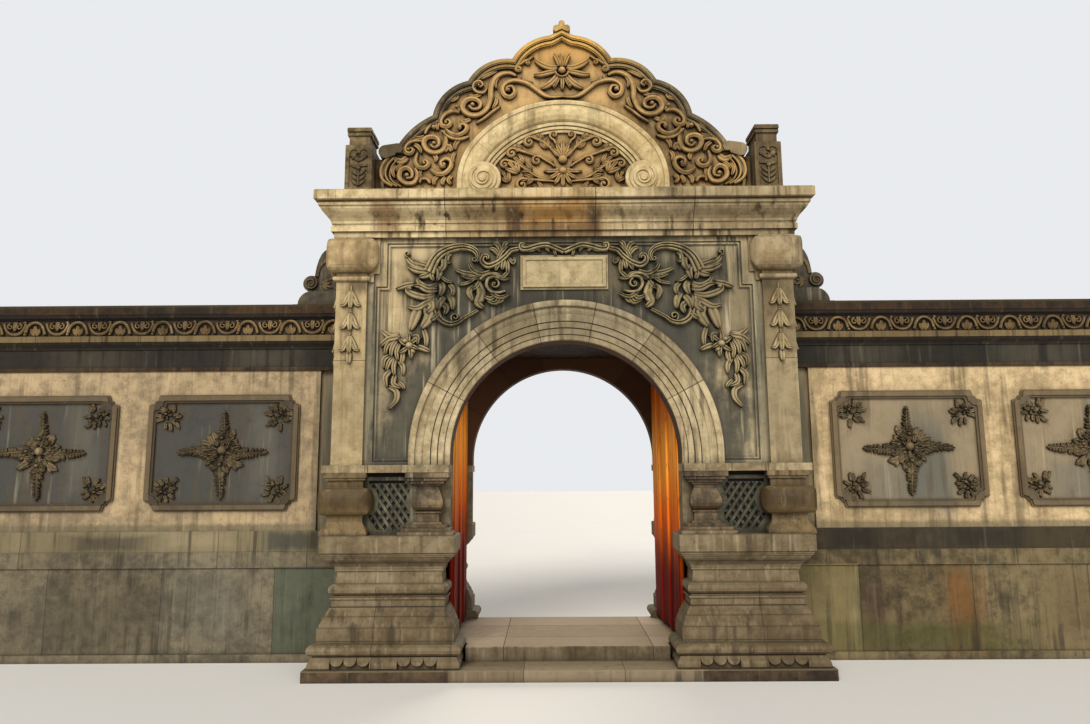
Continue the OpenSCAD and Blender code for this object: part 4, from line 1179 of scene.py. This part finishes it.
class Runner(Tree):
    """Repeats a motif along a straight line and makes it plain mesh."""

    def __init__(self) -> None:
        """Builds the tree: a line of points with the motif on each, made real and dressed."""
        super().__init__(bpy.data.node_groups.new("run_along", "GeometryNodeTree"))
        kinds = {"Motif": "Object", "Count": "Int", "Start": "Vector", "Step": "Vector", "Finish": "Material"}
        face = self.tree.interface
        for label, kind in {"Geometry": "Geometry", **kinds}.items():
            face.new_socket(label, in_out="INPUT", socket_type="NodeSocket" + kind)
        face.new_socket("Geometry", in_out="OUTPUT", socket_type="NodeSocketGeometry")
        given = {label: self.put("NodeGroupInput", out=label) for label in kinds}
        spots = {"Count": given["Count"], "Start Location": given["Start"], "Offset": given["Step"]}
        line = self.put("GeometryNodeMeshLine", {"mode": "OFFSET"}, spots)
        settings = {"transform_space": "ORIGINAL"}
        motif = self.put("GeometryNodeObjectInfo", settings, {"Object": given["Motif"]}, "Geometry")
        copies = self.put("GeometryNodeInstanceOnPoints", None, {"Points": line, "Instance": motif})
        real = self.put("GeometryNodeRealizeInstances", None, {"Geometry": copies})
        dressed = self.put("GeometryNodeSetMaterial", None, {"Geometry": real, "Material": given["Finish"]})
        self.put("NodeGroupOutput", None, {"Geometry": dressed})

    def run(
        self, name: str, motif: bpy.types.Mesh, count: int, start: float, step: float, finish: bpy.types.Material
    ) -> bpy.types.Mesh:
        """Repeats the motif from side to side.

        Args:
            name: name of the new mesh.
            motif: mesh of one repeat.
            count: number of repeats.
            start: how far the first one is moved along x.
            step: from one to the next.
            finish: material of them all.

        Returns:
            One plain mesh.
        """
        source = bpy.data.objects.new(name + "_motif", motif)
        holder = bpy.data.objects.new(name + "_run", bpy.data.meshes.new(name + "_run"))
        bpy.context.scene.collection.objects.link(holder)
        modifier = holder.modifiers.new("run", "NODES")
        modifier.node_group = self.tree
        given = {"Motif": source, "Count": count, "Start": (start, 0, 0), "Step": (step, 0, 0), "Finish": finish}
        for item in self.tree.interface.items_tree:
            if item.in_out == "INPUT" and item.name in given:
                modifier[item.identifier] = given[item.name]
        holder.update_tag()
        graph = bpy.context.evaluated_depsgraph_get()
        mesh = bpy.data.meshes.new_from_object(holder.evaluated_get(graph))
        bpy.data.objects.remove(holder)
        bpy.data.objects.remove(source)
        mesh.name = name
        return mesh


@dataclass
class GardenWallCarving:
    """Running leaf scroll on the wall's frieze, and sprays in its framed panels."""

    frieze_y: float = 0.344
    frieze_z: float = 3.353
    frieze_height: float = 0.034
    wave: float = 0.444
    first_x: float = 2.29
    repeats: int = 9
    face_y: float = 0.30
    panel_x: tuple[float, float] = (3.505, 5.375)
    panel_z: float = 2.061
    panel_w: float = 1.56
    panel_h: float = 1.18
    corner_in: float = 0.215
    height: float = 0.045

    def build(self, finish: bpy.types.Material, band: bpy.types.Material) -> None:
        """Carves both walls, front and rear.

        Args:
            finish: material of the panels' sprays.
            band: material of the frieze.
        """
        runner = Runner()
        for face, tail in zip(both(self.frieze_y, self.frieze_z), ("", "_rear")):
            for side, word in ((1, "right"), (-1, "left")):
                r = Relief([face], False)
                self._wave(r, side)
                name, way = f"frieze_{word}{tail}", face.across[0] * side
                start, step = way * (self.first_x + self.wave / 2), way * self.wave
                run = runner.run(name, r.mesh(name + "_one"), self.repeats, start, step, band)
                settle(name, run, band)
        across, up = self.panel_w / 2 - self.corner_in, self.panel_h / 2 - self.corner_in
        for i, x in enumerate(self.panel_x):
            for face, tail in zip(both(self.face_y), ("front", "rear")):
                r = Relief([face])
                self._bouquet(r, x, self.panel_z)
                for sx, sz in ((1, 1), (1, -1), (-1, 1), (-1, -1)):
                    self._corner(r, x + sx * across, self.panel_z + sz * up, sx, sz)
                r.piece(f"panel_sprays_{i + 1}_{tail}", finish, "coping_stone")

    def _wave(self, r: Relief, side: int) -> None:
        """Draws one repeat of the frieze: an arch with its leaf, and a cup with its bud.

        Args:
            r: takes the drawing.
            side: 1 as drawn, -1 turned over.
        """
        h = self.frieze_height
        arch = [(-0.216, -0.066), (-0.196, 0.0), (-0.15, 0.052), (-0.09, 0.058), (-0.035, 0.02), (-0.012, -0.05)]
        cup = [(-0.016, 0.052), (0.004, 0.0), (0.04, -0.048), (0.1, -0.066), (0.16, -0.05), (0.2, 0.0), (0.214, 0.05)]
        for points, width in ((arch, 0.032), (cup, 0.03)):
            r.stroke(curve(points, 6) * [side, 1.0], width, h, Section.STEM)
        for x, z, width in ((-0.158, -0.005, 0.06), (-0.07, -0.005, 0.06), (-0.112, 0.026, 0.062)):
            r.lobe(((-0.115 * side, -0.072), ((x * 0.6 - 0.046) * side, -0.04), (x * side, z)), width, h * 0.95)
        r.lobe(((0.1 * side, 0.07), (0.103 * side, 0.02), (0.1 * side, -0.03)), 0.056, h)
        for x, way in ((0.058, 1), (0.148, -1)):
            r.stroke(spiral((x * side, 0.018), 0.034, 90, way * side * 1.1, 0.25), 0.022, h * 0.95)
        for x, z in ((0.0, 0.062), (-0.006, -0.062)):
            r.boss((x * side, z), 0.017, h * 0.9, 8)

    def _cluster(self, r: Relief, at: Point, radius: float, count: int, h: float, rng: random.Random) -> None:
        """Draws a dense round cluster of leaves.

        Args:
            r: takes the drawing.
            at: its middle.
            radius: its radius.
            count: how many leaves.
            h: their height.
            rng: source of the small differences between leaves.
        """
        for k in range(count):
            a = 360 * k / count + rng.uniform(-12, 12)
            foot = polar(at, radius * rng.uniform(0.2, 0.5), a)
            size = radius * rng.uniform(0.5, 0.75)
            r.leaf(foot, a, size, size * 0.58, h * rng.uniform(0.75, 1.05), rng.uniform(-60, 60), 2)

    def _bouquet(self, r: Relief, x: float, z: float) -> None:
        """Draws the bunch of flowers in a panel's middle, with four thick arms of leaves.

        Args:
            r: takes the drawing.
            x: the panel's middle.
            z: its height.
        """
        rng = random.Random(int(x * 100))
        h = self.height
        for a, reach, size in ((90, 0.4, 0.042), (270, 0.44, 0.052), (0, 0.43, 0.05), (180, 0.43, 0.05)):
            mid = polar((x, z), 0.5 * reach, a + math.degrees(0.06))
            line = curve([(x, z), mid, polar((x, z), reach, a)], 14)
            r.stroke(line, np.linspace(0.045, 0.02, len(line)), h * 0.6)
            for i in range(9, len(line) - 1, 2):
                full = size * (2.1 - 1.45 * i / len(line))
                for s in (1, -1):
                    turn = a + s * rng.uniform(25, 60)
                    r.leaf(tuple(line[i]), turn, full, full * 0.5, h * rng.uniform(0.7, 1.0), s * 50)
            r.leaf(tuple(line[-3]), a, size * 1.2, 0.034, h * 0.8)
        self._cluster(r, (x, z), 0.23, 26, h, rng)
        self._cluster(r, (x, z), 0.17, 16, h * 1.2, rng)
        for dx, dz, size in (
            (0, 0.145, 0.075), (0.01, -0.125, 0.08), (-0.12, 0.03, 0.06), (0.125, 0.02, 0.065), (0.075, -0.08, 0.05),
            (-0.08, 0.09, 0.05),
        ):
            r.flower((x + dx, z + dz), size, 6, h * 1.25, rng.uniform(0, 60))
        r.boss((x, z + 0.02), 0.05, h * 1.5, 14)

    def _corner(self, r: Relief, x: float, z: float, sx: int, sz: int) -> None:
        """Draws one corner spray.

        Args:
            r: takes the drawing.
            x: its place across.
            z: its height.
            sx: 1 if it is to the right of the panel's middle, else -1.
            sz: 1 if it is above the panel's middle, else -1.
        """
        self._cluster(r, (x, z), 0.145, 11, 0.042, random.Random(int(x * 50 + z * 10)))
        r.flower((x + 0.03 * sx, z + 0.02 * sz), 0.065, 6, 0.045, 15)
        r.flower((x - 0.06 * sx, z - 0.045 * sz), 0.045, 5, 0.038, 40)
        r.leaf((x - 0.06 * sx, z - 0.06 * sz), math.degrees(math.atan2(-sz, -sx)), 0.09, 0.04, 0.036, 30)


# ---- Finishes of the solid parts


@dataclass
class Dressing:
    """Gives every solid part its finish."""

    cornice_joints: tuple[float, ...] = (-1.165, 0.31, 1.275)
    ring_joints: tuple[float, ...] = (28, 54, 78, 102, 126, 152)
    wall_mid: float = 4.25
    wall_reach: float = 2.3
    panel_x: tuple[float, float] = (3.505, 5.375)

    def build(self) -> dict[str, bpy.types.Material]:
        """Dresses the parts.

        Returns:
            The finishes that carved pieces share.
        """
        made = self._carved()
        for side, s, shift in (("left", -1, 0.0), ("right", 1, 7.0)):
            self._order(side, s, shift)
            self._wall(side, s, shift)
        self._arch()
        self._head()
        self._steps()
        # Each leaf gets its painted light and highlight at heights of its own.
        self._dress(PlankFinish("planks_left", 1.2), "left_leaf")
        self._dress(PlankFinish("planks_right", 0.95, 2.35), "right_leaf")
        return made

    def _order(self, side: str, s: int, shift: float) -> None:
        """Dresses the pedestal, the short order, the pilasters and their neighbours on one side.

        Args:
            side: left or right.
            s: -1 on the left and 1 on the right.
            shift: moves the patterns, so that the sides differ.
        """
        right = s > 0
        joints = (
            Joints(Across.X, (s * 1.77,), 0.1, 0.80),
            Joints(Across.Z, (0.335, 0.62, 1.02), 0.9, 2.5),
            Joints(Across.Y, (-0.45, 0.35), 0.1, 1.27),
        )
        tones = ("897a5f", "69593f", "3a2f1f", 0.7, "4f4a30", 0.6, 0.95)
        self._stone(side, "pedestal", "pedestal", *tones, shift=shift, joints=joints)
        marks = (Patch(s * 2.0, 1.61, 0.4, 0.11, "3c2c0f", 0.8, 0.5),)
        # The bulb blocks and balusters take painted shade in tones of their own on faces that look down.
        more = dict(dirt=1.0, underside_shade="5c4a2c", shift=shift + 1, rough=0.62, pale=0.15, patches=marks)
        self._stone(side, "bulb_blocks", "bulb", "74603c", "3f2e15", "21180c", 0.8, **more)
        more = dict(dirt=1.0, underside_shade="3c2a12", shift=shift + 6, rough=0.6)
        self._stone(side, "balusters", "baluster", "857050", "40331f", "241a0e", 0.8, **more)
        joints = (Joints(Across.X, tuple(sorted((s * 1.56, s * 1.9)))),)
        self._stone(side, "impost", "impost", "a89572", "6f6147", shift=shift + 2, joints=joints)
        self._stone(side, "jamb_wall", "jamb", "86765a", "50452f", dirt=0.9, shift=shift + 3)
        # The lattice's recess behind the bars takes painted shade.
        more = dict(dirt=0.9, shift=shift, depth=0.766, sunk="191813")
        self._stone(side, "lattice_panels", "lattice", "5a5541", "322f24", "1a1913", **more)
        joints = (Joints(Across.Z, (2.92,), 1.9, 2.3),)
        # On the right, the darker patch and the darker tones of the pilaster are painted shade.
        marks = (
            Patch(s * 2.09, 3.3, 0.2, 0.35, "5f5138" if right else "c9b48a", 0.4, 0.5),
            Patch(s * 2.02, 3.72, 0.1, 0.14, "3f3424", 0.7, 0.4),
            Patch(s * 2.09, 2.45, 0.24, 0.42, "85765a", 0.5, 0.5),
        )
        tones = ("ab9974", "716248") if right else ("c6b187", "947f56")
        more = dict(shift=shift + 4, joints=joints, patches=marks)
        self._stone(side, "pilasters", "pilaster", *tones, "6a5a3e", 0.8, **more)
        # The right capital's darker tones are painted shade.
        tones = ("9c8a68", "63543a") if right else ("cdb78a", "988059")
        more = dict(dirt=0.9, shift=shift + 5, patches=(Patch(s * 2.0, 3.86, 0.12, 0.08, "6f5029", 0.4, 0.5),))
        self._stone(side, "capitals", "capital", *tones, "4f4029", 0.6, **more)
        joints = (Joints(Across.Z, (2.3, 2.72), 0, 3),)
        self._stone(side, "core_wall", "core", "7d6c4e", "4e4230", shift=shift, joints=joints)
        self._stone(side, "console", "console", "5a5141", "373126", "1f1a12", 0.5, dirt=0.9, tops="63693a")
        # The right post's darker tone is painted shade.
        tones = ("665436" if right else "8a764f", "463820", "241c11", 0.6, "3c3524", 0.6)
        self._stone(side, "corner_posts", "post", *tones)

    def _arch(self) -> None:
        """Dresses the arch rings, the walls round them and the ceiling between."""
        # The chamber's ceiling is dark stone, given still darker tones as painted shade.
        self._dress(StoneFinish("ceiling_stone_painted_shade", "422810", "1d1107", "0e0805"), "chamber_ceiling")
        places = tuple(math.radians(a) * Joints.arch_radius for a in self.ring_joints)
        joints = (Joints(Across.ARCH, places, 1.93, 9.0, 0.004),)
        marks = (Patch(0.0, 3.3, 0.6, 0.2, "625b46", 0.6, 0.4), Patch(0.9, 3.2, 0.5, 0.4, "6c6350", 0.4, 0.5, True))
        # The soffits inside the arch rings take painted shade.
        more = dict(dirt=0.95, joints=joints, depth=0.79, sunk="4a2f18", patches=marks)
        # The rear ring's darker tones are painted shade.
        for name, light, dark in (("front_arch_ring", "c2b08a", "8c7b5a"), ("rear_arch_ring", "8d7c5d", "55482f")):
            self._dress(StoneFinish(name + "_stone", light, dark, "4d4230", 0.75, **more), name)
        joints = (Joints(Across.X, (-0.62, 0.66), 3.45, 4.2),)
        marks = (
            Patch(0, 3.8, 1.15, 0.42, "5a5341", 0.88, 0.25, True),
            Patch(1.2, 3.5, 0.32, 0.5, "38372c", 0.85, 0.4, True),
            Patch(1.58, 4.02, 0.32, 0.12, "c9b48a", 0.85, 0.5, True),
            Patch(1.66, 3.45, 0.16, 0.4, "a8946c", 0.6, 0.5, True),
            Patch(1.88, 2.7, 0.08, 0.9, "5d5a4a", 0.7, 0.5, True),
            Patch(1.5, 3.6, 0.36, 0.5, "4a4535", 0.6, 0.4),
        )
        more = dict(dirt=0.95, ring_stain=0.92, pale=0.42, patches=marks, joints=joints)
        for name in ("front_left_spandrel", "front_right_spandrel", "rear_left_spandrel", "rear_right_spandrel"):
            tones = ("bda981", "7d6f55", "35332a", 1.0)
            self._dress(StoneFinish(name + "_stone", *tones, shift=float(len(name)), **more), name)
        self._dress(StoneFinish("plaque_stone", "b4a27a", "8b7a58", streaks=0.3, dirt=0.9), "front_plaque")

    def _head(self) -> None:
        """Dresses the cornice with its rust and run-downs."""
        marks = (
            Patch(-0.12, 4.33, 0.42, 0.14, "b27c30", 0.75, 0.7),
            Patch(0.3, 4.3, 0.07, 0.14, "46301a", 0.8, 0.6),
            Patch(-0.5, 4.31, 0.08, 0.15, "46301a", 0.85, 0.6),
            Patch(0.0, 4.2, 0.5, 0.08, "5f4629", 0.75, 0.4),
            Patch(-0.75, 4.3, 0.3, 0.16, "7a5a33", 0.5, 0.5),
            Patch(-1.75, 4.33, 0.12, 0.14, "7a5630", 0.7, 0.5),
            Patch(1.6, 4.36, 1.0, 0.32, "6a5a42", 0.65, 0.5),
        )
        joints = (Joints(Across.X, self.cornice_joints, 4.1, 4.6, 0.004),)
        tones = ("dac497", "9c875e", "42351f", 1.0, "7d7150", 0.7, 0.95)
        self._dress(StoneFinish("cornice_stone", *tones, patches=marks, joints=joints), "cornice")

    def _steps(self) -> None:
        """Dresses both steps and the stones that carry the pivots."""
        # The base slab's dark tones are painted shade under the pedestals; the paler patch in its middle is where that
        # shade ends.
        marks = (Patch(0.06, 0.06, 1.13, 0.2, "94846a", 0.65),)
        joints = (Joints(Across.X, (-1.1, -0.4, 0.5, 1.25)),)
        tones = ("5c4a34", "2f2213", "241b11", 0.7, "85775c", 0.7, 0.95)
        self._dress(StoneFinish("base_stone", *tones, patches=marks, joints=joints), "base_slab")
        marks = (Patch(0.0, 0.12, 1.5, 0.1, "5e5039", 0.6),)
        joints = (Joints(Across.X, (-0.6, 0.8), half=0.004), Joints(Across.Y, (-0.3, 0.25), half=0.004))
        tones = ("a09177", "594b35", "2f2619", 0.5, "a69479", 0.85, 0.95)
        self._dress(StoneFinish("step_stone", *tones, patches=marks, joints=joints), "passage_floor")
        self._dress(StoneFinish("pivot_stone", "85765e", "554936"), "pivot_stones")

    def _carved(self) -> dict[str, bpy.types.Material]:
        """Makes the finishes of carved work and dresses the parts that share them.

        Returns:
            The finishes by what they are for.
        """
        lit = (
            Patch(-0.95, 5.5, 0.85, 0.9, "d3ab70", 0.42, 0.6),
            Patch(0.0, 5.98, 0.5, 0.36, "d3ab70", 0.5, 0.5),
            Patch(0.0, 5.0, 0.75, 0.5, "c9a268", 0.3, 0.5),
        )
        dark = dict(streaks=0.35, dirt=1.0, rough=0.8, patches=lit)
        # The pediment's field, coping rolls and relief take painted warm sunlight near the pediment's top.
        field = StoneFinish("pediment_field", "ad8b56", "705834", "1f170c", painted_sunlight="b98c4a", **dark)
        self._dress(field, "pediment")
        edge = StoneFinish("coping_rolls", "7f6d4c", "4c4029", "262014", 0.5, "3a3525", painted_sunlight="cda052", dirt=0.9)
        self._dress(edge, "pediment_coping")
        self._dress(StoneFinish("finial_stone", "cfa95f", "9c7a3a", dirt=0.8), "finials")
        band = StoneFinish("band_stone", "d8c394", "ad9565", "5b4a2d", 0.55, dirt=0.9)
        marks = (Patch(1.75, 3.3, 0.46, 1.2, "b09b72", 0.7, 0.3, True), Patch(1.5, 3.6, 0.4, 0.5, "5b5039", 0.55, 0.4))
        grown = dict(moss=0.2, pale=0.6, patches=marks)
        made = {
            "relief": StoneFinish(
                "pediment_relief", "bf9a60", "86693e", "1b140a", painted_sunlight="cda052", carved=True, moss=0.2, **dark
            ).build(),
            "band": self._dress(band, "front_scroll_band", "rear_scroll_band"),
        }
        for use, name, light, deep, stain, more in (
            ("garland", "garland_stone", "b09e70", "564b33", "16140e", grown),
            ("husk", "husk_stone", "c2ad82", "8b7750", "2f2515", {}),
            ("post", "post_relief", "806c49", "4d4029", "221a10", {}),
            ("wall", "wall_relief", "7a6848", "4a3d27", "1c160d", {}),
            ("frieze", "frieze_relief", "8a7046", "5c4829", "1c150b", {}),
        ):
            made[use] = StoneFinish(name, light, deep, stain, carved=True, dirt=1.0, **more).build()
        return made

    def _wall(self, side: str, s: int, shift: float) -> None:
        """Dresses one garden wall.

        Args:
            side: left or right.
            s: -1 on the left and 1 on the right.
            shift: moves the patterns, so that the sides differ.
        """
        right = s > 0
        mid, reach = s * self.wall_mid, self.wall_reach
        # The band at z 3.165 is painted shade on the coping's cyma.
        courses = ((3.035, 0.094, "201d15", 0.95), (3.165, 0.034, "1f190f", 0.9), (3.238, 0.032, "7d6a45", 0.8))
        courses += ((3.353, 0.084, "392c1a", 0.9), (3.462, 0.024, "201810", 0.85))
        marks = [Patch(mid, z, reach, half, colour, amount) for z, half, colour, amount in courses]
        marks[1:1] = [Patch(s * x, 3.035, w, 0.13, "6f6753", 0.2, 0.6) for x, w in ((3.1, 0.35), (4.9, 0.4))]
        joints = (Joints(Across.X, tuple(s * v for v in (3.2, 4.4, 5.5)), 2.9, 3.7),)
        tones = ("3f2a0e", "201507", "120c05", 0.8, "3d3414", 0.8, 0.95)
        self._stone(side, "wall_coping", "coping", *tones, shift=shift, pale=0.08, patches=tuple(marks), joints=joints)
        panel = (
            (0.0, 2.061, 0.72, 0.53, "292e30", 0.97, 0.0),
            (-0.42, 2.1, 0.16, 0.5, "605d50", 0.45, 0.6),
            (0.35, 1.8, 0.22, 0.4, "3a3d38", 0.6, 0.6),
        )
        if right:
            panel = (
                (0.0, 2.061, 0.72, 0.53, "796c56", 0.88, 0.0),
                (0.22, 1.95, 0.2, 0.5, "4a4d48", 0.75, 0.6),
                (-0.05, 1.72, 0.42, 0.2, "5a5a50", 0.6, 0.6),
            )
        marks = (
            *(Patch(s * (x + dx), *rest) for x in self.panel_x for dx, *rest in panel),
            Patch(s * 2.36, 2.1, 0.168, 0.9, "857655", 0.5),
            Patch(s * 2.36, 2.1, 0.168, 0.9, "3e4038", 0.8, 0.45),
            Patch(mid, 1.29, reach, 0.05, "57513c", 0.7, 0.5),
        )
        tones = ("cbb085", "947f5b") if right else ("ad9671", "7c6b52")
        more = dict(shift=shift, depth=0.302, proud="3f3321", pale=0.3, patches=marks)
        self._stone(side, "wall_field", "plaster", *tones, "4c3f2b", 0.6, "6b6248", 0.5, 0.8, **more)
        tones = ("746546", "433923") if right else ("786d56", "4f4738")
        stains = (
            Patch(-2.62, 0.5, 0.3, 0.42, "474f3f", 0.85),
            Patch(-3.6, 0.55, 0.4, 0.3, "5d5a4e", 0.5, 0.7),
            Patch(-4.9, 0.4, 0.6, 0.25, "4f4a38", 0.5, 0.7),
            Patch(-2.75, 1.17, 0.3, 0.09, "383a33", 0.8, 0.5),
            Patch(-3.7, 1.19, 0.3, 0.06, "8b7c60", 0.6, 0.5),
            Patch(-4.6, 1.15, 0.4, 0.07, "3a352a", 0.7, 0.5),
        )
        if right:
            stains = (
                Patch(2.62, 0.5, 0.3, 0.42, "7d7048", 0.75),
                Patch(3.05, 0.45, 0.1, 0.3, "4a3826", 0.7, 0.7),
                Patch(3.95, 0.42, 0.16, 0.3, "6e4a20", 0.6, 0.8),
                Patch(3.9, 0.66, 0.1, 0.2, "7d5423", 0.6, 0.7),
                Patch(3.5, 0.22, 0.9, 0.12, "4b4a20", 0.7, 0.6),
                Patch(5.1, 0.5, 0.3, 0.3, "5b4a2c", 0.6, 0.7),
                Patch(2.9, 1.17, 0.25, 0.1, "1d180e", 0.8, 0.4),
                Patch(4.2, 1.17, 0.4, 0.1, "221c11", 0.8, 0.4),
            )
        joints = tuple(
            Joints(Across.X, tuple(s * v for v in places), low, high)
            for places, low, high in (((2.92, 4.05, 5.2), 0.08, 0.91), ((2.6, 3.5, 4.5, 5.5), 0.91, 1.27))
        )
        course = Patch(mid, 1.165, reach, 0.105, "2a2214" if right else "7d7154", 0.85)
        more = dict(shift=shift + 2, pale=0.1, patches=(course, *stains), joints=joints)
        self._stone(side, "wall_dado", "dado", *tones, "2c261b", 0.7, "4f4c33", 0.7, 0.85, **more)

    def _stone(self, side: str, part: str, name: str, *tones: str | float, **more: object) -> None:
        """Dresses the part on one side in a stone of its own."""
        self._dress(StoneFinish(f"{name}_{side}", *tones, **more), f"{side}_{part}")

    def _dress(self, finish: StoneFinish | PlankFinish, *nodes: str) -> bpy.types.Material:
        """Puts a finish on solid parts.

        Args:
            finish: what they are given.
            nodes: names of the parts.

        Returns:
            The material.
        """
        material = finish.build()
        for name in nodes:
            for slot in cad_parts[name].material_slots:
                slot.material = material
        log.info("%s on %s", finish.name, ", ".join(nodes))
        return material


# ---- Studio


@dataclass
class Studio:
    """Plain pale floor, soft light and the camera of the photograph."""

    eye: Place = (-0.16, -8.08, 1.86)
    pitch: float = 8.15
    left: float = 0.28
    roll: float = -0.35
    lens: float = 24.95
    floor_half: float = 60.0

    def build(self) -> None:
        """Sets up floor, lights, surroundings and camera."""
        self._floor()
        self._light("key_light", (-3.4, -10.0, 8.6), 30, 3.0, (1.0, 0.955, 0.88))
        self._light("fill_light", (7.0, -11.0, 3.8), 34, 1.1, (0.95, 0.97, 1.0))
        self._light("rear_light", (2.0, 10.0, 4.8), 34, 1.6, (1.0, 0.9, 0.74))
        self._surroundings()
        self._camera()
        bpy.context.scene.view_settings.view_transform = "Standard"

    def _floor(self) -> None:
        """Lays the floor."""
        mesh = bpy.data.meshes.new("studio_floor")
        corners = [(x * self.floor_half, y * self.floor_half, 0) for x, y in ((-1, -1), (1, -1), (1, 1), (-1, 1))]
        mesh.from_pydata(corners, [], [(0, 1, 2, 3)])
        p = Paint("floor_paint")
        cloud = p.noise(0.6, 3)
        p.colour = p.mix(cloud, tone("d9d6d0"), tone("d5d2cb"))
        mesh.materials.append(p.done(cloud * 0.1 + 0.75, cloud, 0.001))
        floor = bpy.data.objects.new("studio_floor", mesh)
        bpy.context.scene.collection.objects.link(floor)

    def _light(self, name: str, side: Place, breadth: float, power: float, tint: Place) -> None:
        """Sets one even, soft light.

        Args:
            name: its name.
            side: the side that it comes from.
            breadth: how broad it looks, in degrees.
            power: its strength.
            tint: its colour.
        """
        lamp = bpy.data.lights.new(name, "SUN")
        lamp.angle = math.radians(breadth)
        lamp.energy = power
        lamp.color = tint
        holder = bpy.data.objects.new(name, lamp)
        holder.location = side
        holder.rotation_euler = (-Vector(side)).to_track_quat("-Z", "Y").to_euler()
        bpy.context.scene.collection.objects.link(holder)

    def _surroundings(self) -> None:
        """Makes a pale backdrop that the camera sees and a softer light that the stone sees."""
        world = bpy.data.worlds.new("studio")
        world.use_nodes = True
        bpy.context.scene.world = world
        tree = Tree(world.node_tree)
        seen = tree.put("ShaderNodeBackground", None, {"Color": tone("e9ebee"), "Strength": 1.0})
        felt = tree.put("ShaderNodeBackground", None, {"Color": tone("dfe6f2"), "Strength": 0.42})
        straight = tree.put("ShaderNodeLightPath", out="Is Camera Ray")
        mixed = tree.put("ShaderNodeMixShader", None, {0: straight, 1: felt, 2: seen})
        tree.put("ShaderNodeOutputWorld", None, {"Surface": mixed})

    def _camera(self) -> None:
        """Stands the camera where the photograph was taken."""
        lens = bpy.data.cameras.new("camera")
        lens.lens = self.lens
        lens.sensor_width = 36.0
        lens.sensor_fit = "HORIZONTAL"
        camera = bpy.data.objects.new("camera", lens)
        turns = ((self.left, "Z"), (90 + self.pitch, "X"), (self.roll, "Z"))
        one, two, three = (Matrix.Rotation(math.radians(angle), 4, axis) for angle, axis in turns)
        camera.matrix_world = Matrix.Translation(self.eye) @ (one @ two @ three)
        bpy.context.scene.collection.objects.link(camera)
        bpy.context.scene.camera = camera


def main() -> None:
    """Builds everything in order."""
    logging.basicConfig(level=logging.INFO, format="%(message)s")
    Studio().build()
    finishes = Dressing().build()
    PedimentCarving().build(finishes["relief"], finishes["band"])
    WallGarland().build(finishes["garland"])
    HuskDrops().build(finishes["husk"])
    PostPanels().build(finishes["post"])
    ConsoleScrolls().build(finishes["post"])
    GardenWallCarving().build(finishes["wall"], finishes["frieze"])


if __name__ == "__main__":
    main()
